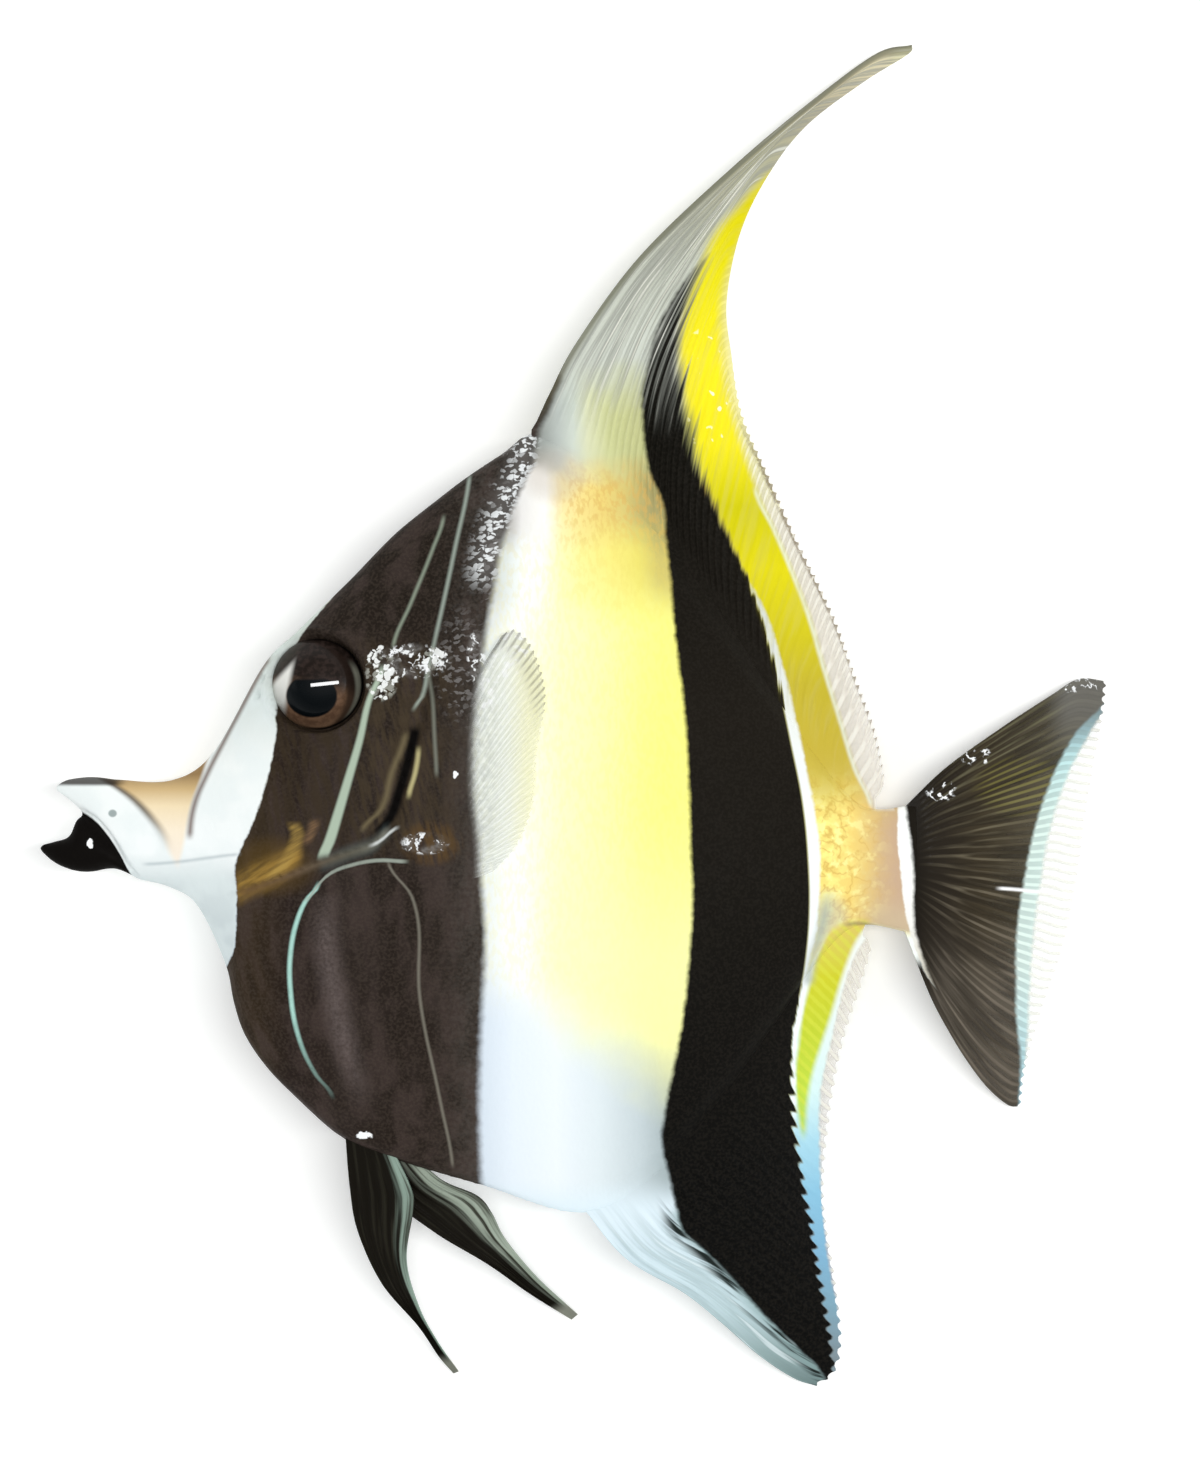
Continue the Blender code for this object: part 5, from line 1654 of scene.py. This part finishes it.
def dorsal_tint(fin, colour):
    y, streaks, on_ray = fin["y"], fin["streaks"], fin["on ray"]
    streamer = without(past(y, 31.0, 5.0), behind(fin, REAR_BAR_REAR, 0.6))
    edge = both(outside(past(fin["across"], 0.012, 0.008)), past(y, 28.0, 1.5))
    yellow = both(behind(fin, REAR_BAR_REAR, 0.5), past(y, 2.0, 8.0))
    yellow = without(yellow, behind(fin, DORSAL_CLEAR_EDGE, 0.5))
    drop_glints = both(past(grain(fin, 0.9, 1.0), 0.71, 0.03), patch(fin, (12.6, 31.5), (2.6, 6.0), 0.6))
    margin = both(behind(fin, DORSAL_CLEAR_EDGE, 0.3), outside(past(y, 27.0, 4.0)))
    hairs = both(past(streaks, 0.56, 0.05), outside(on_ray))
    rim = both(past(fin["out"], 0.95, 0.015), past(grain(fin, 0.5, 2.0), 0.42, 0.05))
    pale = both(past(streaks, 0.55, 0.1), past(fin["out"], 0.25, 0.2))
    return lay_coats(colour, (
        (both(streamer, past(streaks, 0.5, 0.07)), "#8E9088", 0.75),
        (both(streamer, past(streaks, 0.6, 0.05)), "#ECECE0", 0.8),
        (edge, ramp(y, LEADING_EDGE), 0.8),
        (both(yellow, past(streaks, 0.5, 0.2)), "#C9BE14", 0.3),
        # Painted glints of drops of water on the yellow.
        (both(drop_glints, yellow), "#FBFBD2"),
        (both(margin, hairs), "#C4BAA4", 0.2),
        (both(margin, rim), "#7F6E54", 0.85),
        (without(pale, fin["dark"]), "#D9D5BE", 0.06),
    ))


dorsal_skin = membrane("dorsal fin membrane", "dorsal", dorsal_tint, 0.35, 0.28, rim_alpha=0.8)
dorsal.data.materials.append(dorsal_skin)
print("material of the dorsal fin:", dorsal_skin.name)

# %% [markdown]
# ## The anal fin's own streaks
# The pale strip in front of the band has grey-green streaks, and the band's black runs out on
# to it along the streaks near the body.


# %% Tint the anal fin
def anal_tint(fin, colour):
    y, streaks = fin["y"], fin["streaks"]
    strip = outside(behind(fin, REAR_BAR_FRONT, 0.4))
    strip = both(strip, outside(past(y, -48.0, 3.0)))
    shifted = [(px - 1.3, py) for px, py in REAR_BAR_FRONT if py < -40.0]
    rooty = without(behind(fin, shifted, 0.7), past(y, -46.5, 1.5))
    rooty = without(rooty, behind(fin, REAR_BAR_FRONT, 0.3))
    return lay_coats(colour, (
        (both(strip, past(streaks, 0.5, 0.08)), "#8CA3A3", 0.45),
        (both(strip, past(streaks, 0.6, 0.05)), "#EDF7FA", 0.5),
        (both(rooty, past(streaks, 0.5, 0.06)), "#1F2624"),
    ))


anal_skin = membrane("anal fin membrane", "anal", anal_tint, 0.3, 0.15, comb=0.22)
anal.data.materials.append(anal_skin)
print("material of the anal fin:", anal_skin.name)

# %% [markdown]
# ## The tail fin's own streaks
# The dark tail has paler fine rays in loose groups, strongest towards its margin, and the dark
# membrane lets a little light through there. A single white line of painted highlight marks where
# water runs off its edge, and painted glints sit on its upper edge.

# %% Tint the tail fin
TAIL_RAYS = ((-40, "#6E665B"), (-25, "#746B5E"), (-12, "#6B6350"), (0, "#6C6A50"))
WATER_GLINT_LINE = [(40.4, -16.6), (43.7, -16.9), (47.0, -17.3)]


def tail_tint(fin, colour):
    x, y, streaks, on_ray = fin["x"], fin["y"], fin["streaks"], fin["on ray"]
    inside = both(outside(behind(fin, TAIL_CRESCENT_FRONT, 0.3)), past(x, 34.5, 2.5))
    grouped = past(along_rays(fin, 13.0, 1.5, 3.0), 0.48, 0.14)
    shown = both(on_ray, both(past(streaks, 0.42, 0.18), grouped))
    olive = both(patch(fin, (42.5, -6.8), (4.2, 2.6), 0.6), both(on_ray, inside))
    return lay_coats(colour, (
        (both(shown, inside), ramp(y, TAIL_RAYS), 0.85),
        (both(outside(past(streaks, 0.5, 0.1)), inside), "#1D1812", 0.5),
        (olive, "#8A8440", 0.4),
        (both(past(y, -2.0, 3.0), past(x, 46.0, 1.5)), "#72706A", 0.75),
        (both(behind(fin, TAIL_CRESCENT_FRONT, 0.3), outside(on_ray)), "#9DB5B4", 0.35),
        # Painted highlight where water runs off, and painted glints on the upper edge.
        (level_line(fin, WATER_GLINT_LINE, 0.3, 0.12), "#FFFFFF"),
        (glints(fin, any_patch(fin, WET_TAIL)), "#F8FAFA"),
    ))


def tail_opacity(fin):
    thin = both(past(fin["out"], 0.6, 0.3), outside(fin["on ray"]))
    return add("MapRange", {0: thin, 3: 1.0, 4: 0.8})


tail_skin = membrane(
    "tail fin membrane", "tail", tail_tint, 0.05, 0.0, ray_alpha=0.3, opacity=tail_opacity
)
tail.data.materials.append(tail_skin)
print("material of the tail fin:", tail_skin.name)

# %% [markdown]
# ## The pelvic fins' colours
# The pelvic fins are black in front, with a pale hind membrane and grey tips. The left and
# right one differ only in how far the pale part reaches, so one function makes both tints.


# %% Tint the pelvic fins
def pelvic_tint(front_share, pale):
    def tint(fin, colour):
        streaks = fin["streaks"]
        uneven = add("MapRange", {0: streaks, 3: -0.18, 4: 0.18})
        across = add("Math", {0: fin["across"], 1: uneven}, operation="ADD")
        hind = past(across, front_share, 0.14)
        return lay_coats(paint("#14110B"), (
            (past(streaks, 0.56, 0.08), "#24221A"),
            (hind, "#4A4B40", 0.6),
            (both(hind, past(streaks, 0.46, 0.1)), pale),
            (past(fin["out"], 0.93, 0.03), "#9A9C90"),
        ))

    return tint


for fin, name, front_share, pale in (
    (pelvic_left, "left pelvic membrane", 0.84, "#8FA396"),
    (pelvic_right, "right pelvic membrane", 0.66, "#A0AB9C"),
):
    fin.data.materials.append(membrane(name, "pelvic", pelvic_tint(front_share, pale), 0.5))
    print("material of a pelvic fin:", name)

# %% [markdown]
# ## The pectoral fins' clear membrane
# The pectoral fin is a clear silvery fan. Over the dark band it almost disappears, so its alpha
# rises only behind the band's rear border, and away from its root.


# %% Tint the pectoral fins
def pectoral_tint(fin, colour):
    x, out, streaks, on_ray = fin["x"], fin["out"], fin["streaks"], fin["on ray"]
    mottle = both(outside(past(x, -7.6, 1.4)), past(grain(fin, 0.6, 2.0), 0.5, 0.1))
    glinting_beads = both(outside(past(fin["across"], 0.15, 0.03)), past(grain(fin, 0.7, 1.0), 0.6, 0.03))
    edge = both(outside(past(fin["across"], 0.02, 0.02)), past(out, 0.5, 0.2))
    return lay_coats(paint("#FAFCF6"), (
        (both(outside(on_ray), past(streaks, 0.35, 0.3)), "#D5D8C2", 0.3),
        (past(x, -5.6, 1.3), "#F5F0B4", 0.5),
        (mottle, "#A6A9A8", 0.35),
        # White painted glints along the leading edge.
        (both(glinting_beads, past(out, 0.55, 0.1)), "#FFFFFF"),
        (both(past(out, 0.9, 0.04), both(on_ray, past(fin["y"], 0.0, 2.0))), "#6E6A58", 0.6),
        (edge, "#3A3730", 0.8),
    ))


def pectoral_opacity(fin):
    milky = add("MapRange", {0: fin["on ray"], 3: 0.4, 4: 0.58})
    rooted = add("MapRange", {0: fin["out"], 1: 0.1, 2: 0.45, 3: 0.25, 4: 1.0})
    return both(both(milky, behind(fin, FRONT_BAR_REAR, 0.9)), rooted)


pectoral_skin = membrane("pectoral membrane", "pectoral", pectoral_tint, 0.3, opacity=pectoral_opacity)
for fin in (pectoral_left, pectoral_right):
    fin.data.materials.append(pectoral_skin)
print("material of the pectoral fins:", pectoral_skin.name)

# %% [markdown]
# ## Living eyes
# The pupil lies a little forward and low of the eye's middle. The iris round it is brown below
# and dark under the brow, with a silver crescent in front and a thin pale one behind. Each is
# the difference of two ellipses or the part beyond a slanting line, painted flat on the ball.

# %% Colours of the eye
IRIS = (((-24.6, 1.4), (3.6, 3.1), 0.2), ((-24.7, 1.6), (3.1, 2.6), 0.2))
DARK_RING = (((-24.4, 2.4), (3.9, 4.0), 0.1), ((-25.0, 2.2), (3.4, 3.7), 0.16))
REAR_CRESCENT = (((-24.3, 2.6), (4.1, 4.1), 0.06), ((-24.7, 2.6), (3.95, 4.1), 0.1))
PUPIL = ((-24.85, 1.75), (2.4, 2.0), 0.1)


def crescent_of(place, outer, inner):
    """What one ellipse covers and another one doesn't."""
    return without(patch(place, *outer), patch(place, *inner))


def brow_coats(place, fibres):
    """The brown iris gets a light rim below and goes dark under the brow."""
    lid = add("MapRange", {0: place["x"], 1: -28.0, 2: -21.0, 3: 3.3, 4: 2.2})
    brow = coat_of(paint("#1D1612"), past(fibres, 0.52, 0.12), "#2E2420")
    return ((crescent_of(place, *IRIS), "#8C6F57", 0.5), (past(place["y"], lid, 0.9), brow))


def silver_coats(place):
    """The silver crescent in front of the pupil, between two slanting lines."""
    x, y = place["x"], place["y"]
    slant = add("Math", {0: x, 1: both(y, -0.19)}, operation="ADD")
    chord = add("Math", {0: y, 1: x}, operation="SUBTRACT")
    silver = both(outside(past(slant, -27.5, 0.35)), outside(past(chord, 31.5, 0.5)))
    silver = both(silver, past(y, -0.8, 0.9))
    glow = add("MapRange", {0: y, 1: 0.0, 2: 5.0})
    above = both(past(chord, 32.0, 0.6), outside(past(x, -26.0, 0.8)))
    return ((silver, coat_of(paint("#B4B3AE"), glow, "#EFEEE7")), (above, "#3E3D34", 0.4))


def rim_coats(place):
    """The dark ring, the pale crescent behind, a painted socket shadow on the rim, then the pupil."""
    x, y = place["x"], place["y"]
    rear = both(past(x, -21.8, 0.6), outside(past(y, 4.6, 0.8)))
    # The ball's outer rim, darkened behind as painted shadow of the socket.
    rim = outside(patch(place, EYE_CENTRE, (4.1, 4.1), 0.05))
    return (
        (both(crescent_of(place, *DARK_RING), past(x, -23.2, 0.8)), "#251B16", 0.8),
        (both(crescent_of(place, *REAR_CRESCENT), rear), "#8A8B7D", 0.85),
        # Painted shadow of the socket on the eye's hind rim.
        (both(rim, past(x, -25.5, 1.5)), "#0C0908"),
        (both(patch(place, *PUPIL), outside(past(y, 3.35, 0.2))), "#03070A"),
    )


print("pupil:", PUPIL)

# %% [markdown]
# ## The wet cornea
# A glossy coat stands for the wet cornea. It is strongest over the middle of the eye, where it
# mirrors the long studio lamp as a white bar.


# %% The eye material
# A clear wet cornea over a matt iris: one sharp light on a dark ball.
def wet_eye():
    made, tree, shader = new_material("wet eye")
    place = mm_place(tree)
    fibres = grain(place, 0.5, 3.0)
    colour = coat_of(paint("#5E4635"), past(fibres, 0.5, 0.15), "#715642")
    colour = lay_coats(colour, (*brow_coats(place, fibres), *silver_coats(place), *rim_coats(place)))
    middle = patch(place, (-24.0, 2.8), (2.4, 1.0), 0.6)
    film = add("MapRange", {0: middle, 3: 0.12, 4: 1.0})
    fill(shader, {"Base Color": colour, "Coat Weight": film})
    fill(shader, {"Roughness": 0.5, "IOR": 1.38, "Specular IOR Level": 0.1})
    fill(shader, {"Coat IOR": 1.5, "Coat Roughness": 0.02})
    return made


eye_skin = wet_eye()
for eye in (eye_left, eye_right):
    eye.data.materials.append(eye_skin)
print("material of the eyes:", eye_skin.name)

# %% [markdown]
# ## Hand over to the frame
# Each new piece rides on the part's one body, and the solids it stands for are hidden. The skin
# stands for all the flesh, and each fin and eye for its own solid.

# %% Replace the solids
FLESH = ("head", "body", "tail_stalk", "gill_cover_left", "gill_cover_right", "upper_jaw", "lower_jaw")
PIECES = (
    (skin, FLESH, "pale_yellow_skin"),
    (dorsal, ("dorsal_streamer", "dorsal_fin"), "yellow_fin"),
    (anal, ("anal_fin",), "black_fin"),
    (tail, ("tail_fin",), "black_fin"),
    (pelvic_left, ("pelvic_fin_left",), "black_fin"),
    (pelvic_right, ("pelvic_fin_right",), "black_fin"),
    (pectoral_left, ("pectoral_fin_left",), "clear_fin"),
    (pectoral_right, ("pectoral_fin_right",), "clear_fin"),
    (eye_left, ("eye_left",), "eye"),
    (eye_right, ("eye_right",), "eye"),
)
for piece, nodes, slot in PIECES:
    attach(piece, "root")
    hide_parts(*nodes)
print("pieces:", len(PIECES))

# %% [markdown]
# ## Floor
# The fish lies on a plain pale floor, like a sheet of studio paper. A photographer would light
# the paper a little more than the fish, so that it stays white. A faint glow of its own does
# the same here.

# %% Studio paper
FLOOR_HALF = 3.0  # metres


# Matt white paper: no gloss, and a grain that is almost too faint to see.
def studio_paper():
    made, tree, shader = new_material("white studio paper")
    coordinates = tree.nodes.new("ShaderNodeTexCoord").outputs["Object"]
    grit = add("TexNoise", {0: coordinates, 2: 900.0})
    fill(shader, {"Base Color": coat_of(paint("#F6F6F4"), grit, "#F2F2F0", 0.3)})
    fill(shader, {"Roughness": 0.9, "Emission Color": paint("#FFFFFF"), "Emission Strength": 0.22})
    return made


bm = bmesh.new()
bmesh.ops.create_grid(bm, x_segments=1, y_segments=1, size=FLOOR_HALF)
floor = new_object("studio_floor", bm)
floor.data.materials.append(studio_paper())
print("floor width in metres:", 2 * FLOOR_HALF)

# %% [markdown]
# ## Light
# A long narrow lamp hangs almost over the fish, a little towards its tail, and makes the crisp
# wet lights. A bright room fills the shadows from the sides. It is dark overhead, so that it
# doesn't mirror in the skin and wash out the colours.

# %% Lamp and room
LAMP_PLACE = (0.16, 0.015, 0.85)  # metres
LAMP_SIZE = (0.8, 0.085)
LAMP_WATTS = 5.2
LAMP_TILT, LAMP_TURN = 10.5, 6.0  # degrees

lamp = bpy.data.lights.new("strip_lamp", "AREA")
lamp.shape = "RECTANGLE"
lamp.size, lamp.size_y = LAMP_SIZE
lamp.energy = LAMP_WATTS
strip_lamp = bpy.data.objects.new("strip_lamp", lamp)
strip_lamp.location = LAMP_PLACE
strip_lamp.rotation_euler = (0.0, math.radians(LAMP_TILT), math.radians(LAMP_TURN))
bpy.context.scene.collection.objects.link(strip_lamp)

world = bpy.data.worlds.new("bright room")
world.use_nodes = True
sky = world.node_tree
coordinates = sky.nodes.new("ShaderNodeTexCoord").outputs["Generated"]
direction = add("SeparateXYZ", {0: coordinates}).node
overhead = add("MapRange", {0: direction.outputs[2], 1: 0.45, 2: 0.8, 3: 1.25, 4: 0.04})
background = sky.nodes["Background"]
background.inputs["Color"].default_value = paint("#F6F9FB")
sky.links.new(overhead, background.inputs["Strength"])
bpy.context.scene.world = world
print("lamp watts:", lamp.energy)

# %% [markdown]
# ## Camera
# A camera that isn't turned looks straight down, here from 400 mm. Its lens follows from the
# size of one picture element at the height of the flank, so the fish fills the frame as it
# should.

# %% Camera
CAMERA_HEIGHT = 400.0
FLANK_HEIGHT = 7.0
PX_MM = 0.095  # one picture element at the flank
FRAME_PX = (1200, 1469)
SENSOR = 24.0
CAMERA_OVER = (2.15, -1.85)

camera = bpy.data.objects.new("camera", bpy.data.cameras.new("camera"))
camera.location = (CAMERA_OVER[0] * MM, CAMERA_OVER[1] * MM, CAMERA_HEIGHT * MM)
camera.data.sensor_fit = "VERTICAL"
camera.data.sensor_height = SENSOR
camera.data.lens = SENSOR * (CAMERA_HEIGHT - FLANK_HEIGHT) / (PX_MM * FRAME_PX[1])
camera.data.clip_start = 0.01
bpy.context.scene.collection.objects.link(camera)
bpy.context.scene.camera = camera
bpy.context.scene.view_settings.view_transform = "Standard"
print("lens in mm:", round(camera.data.lens, 1))
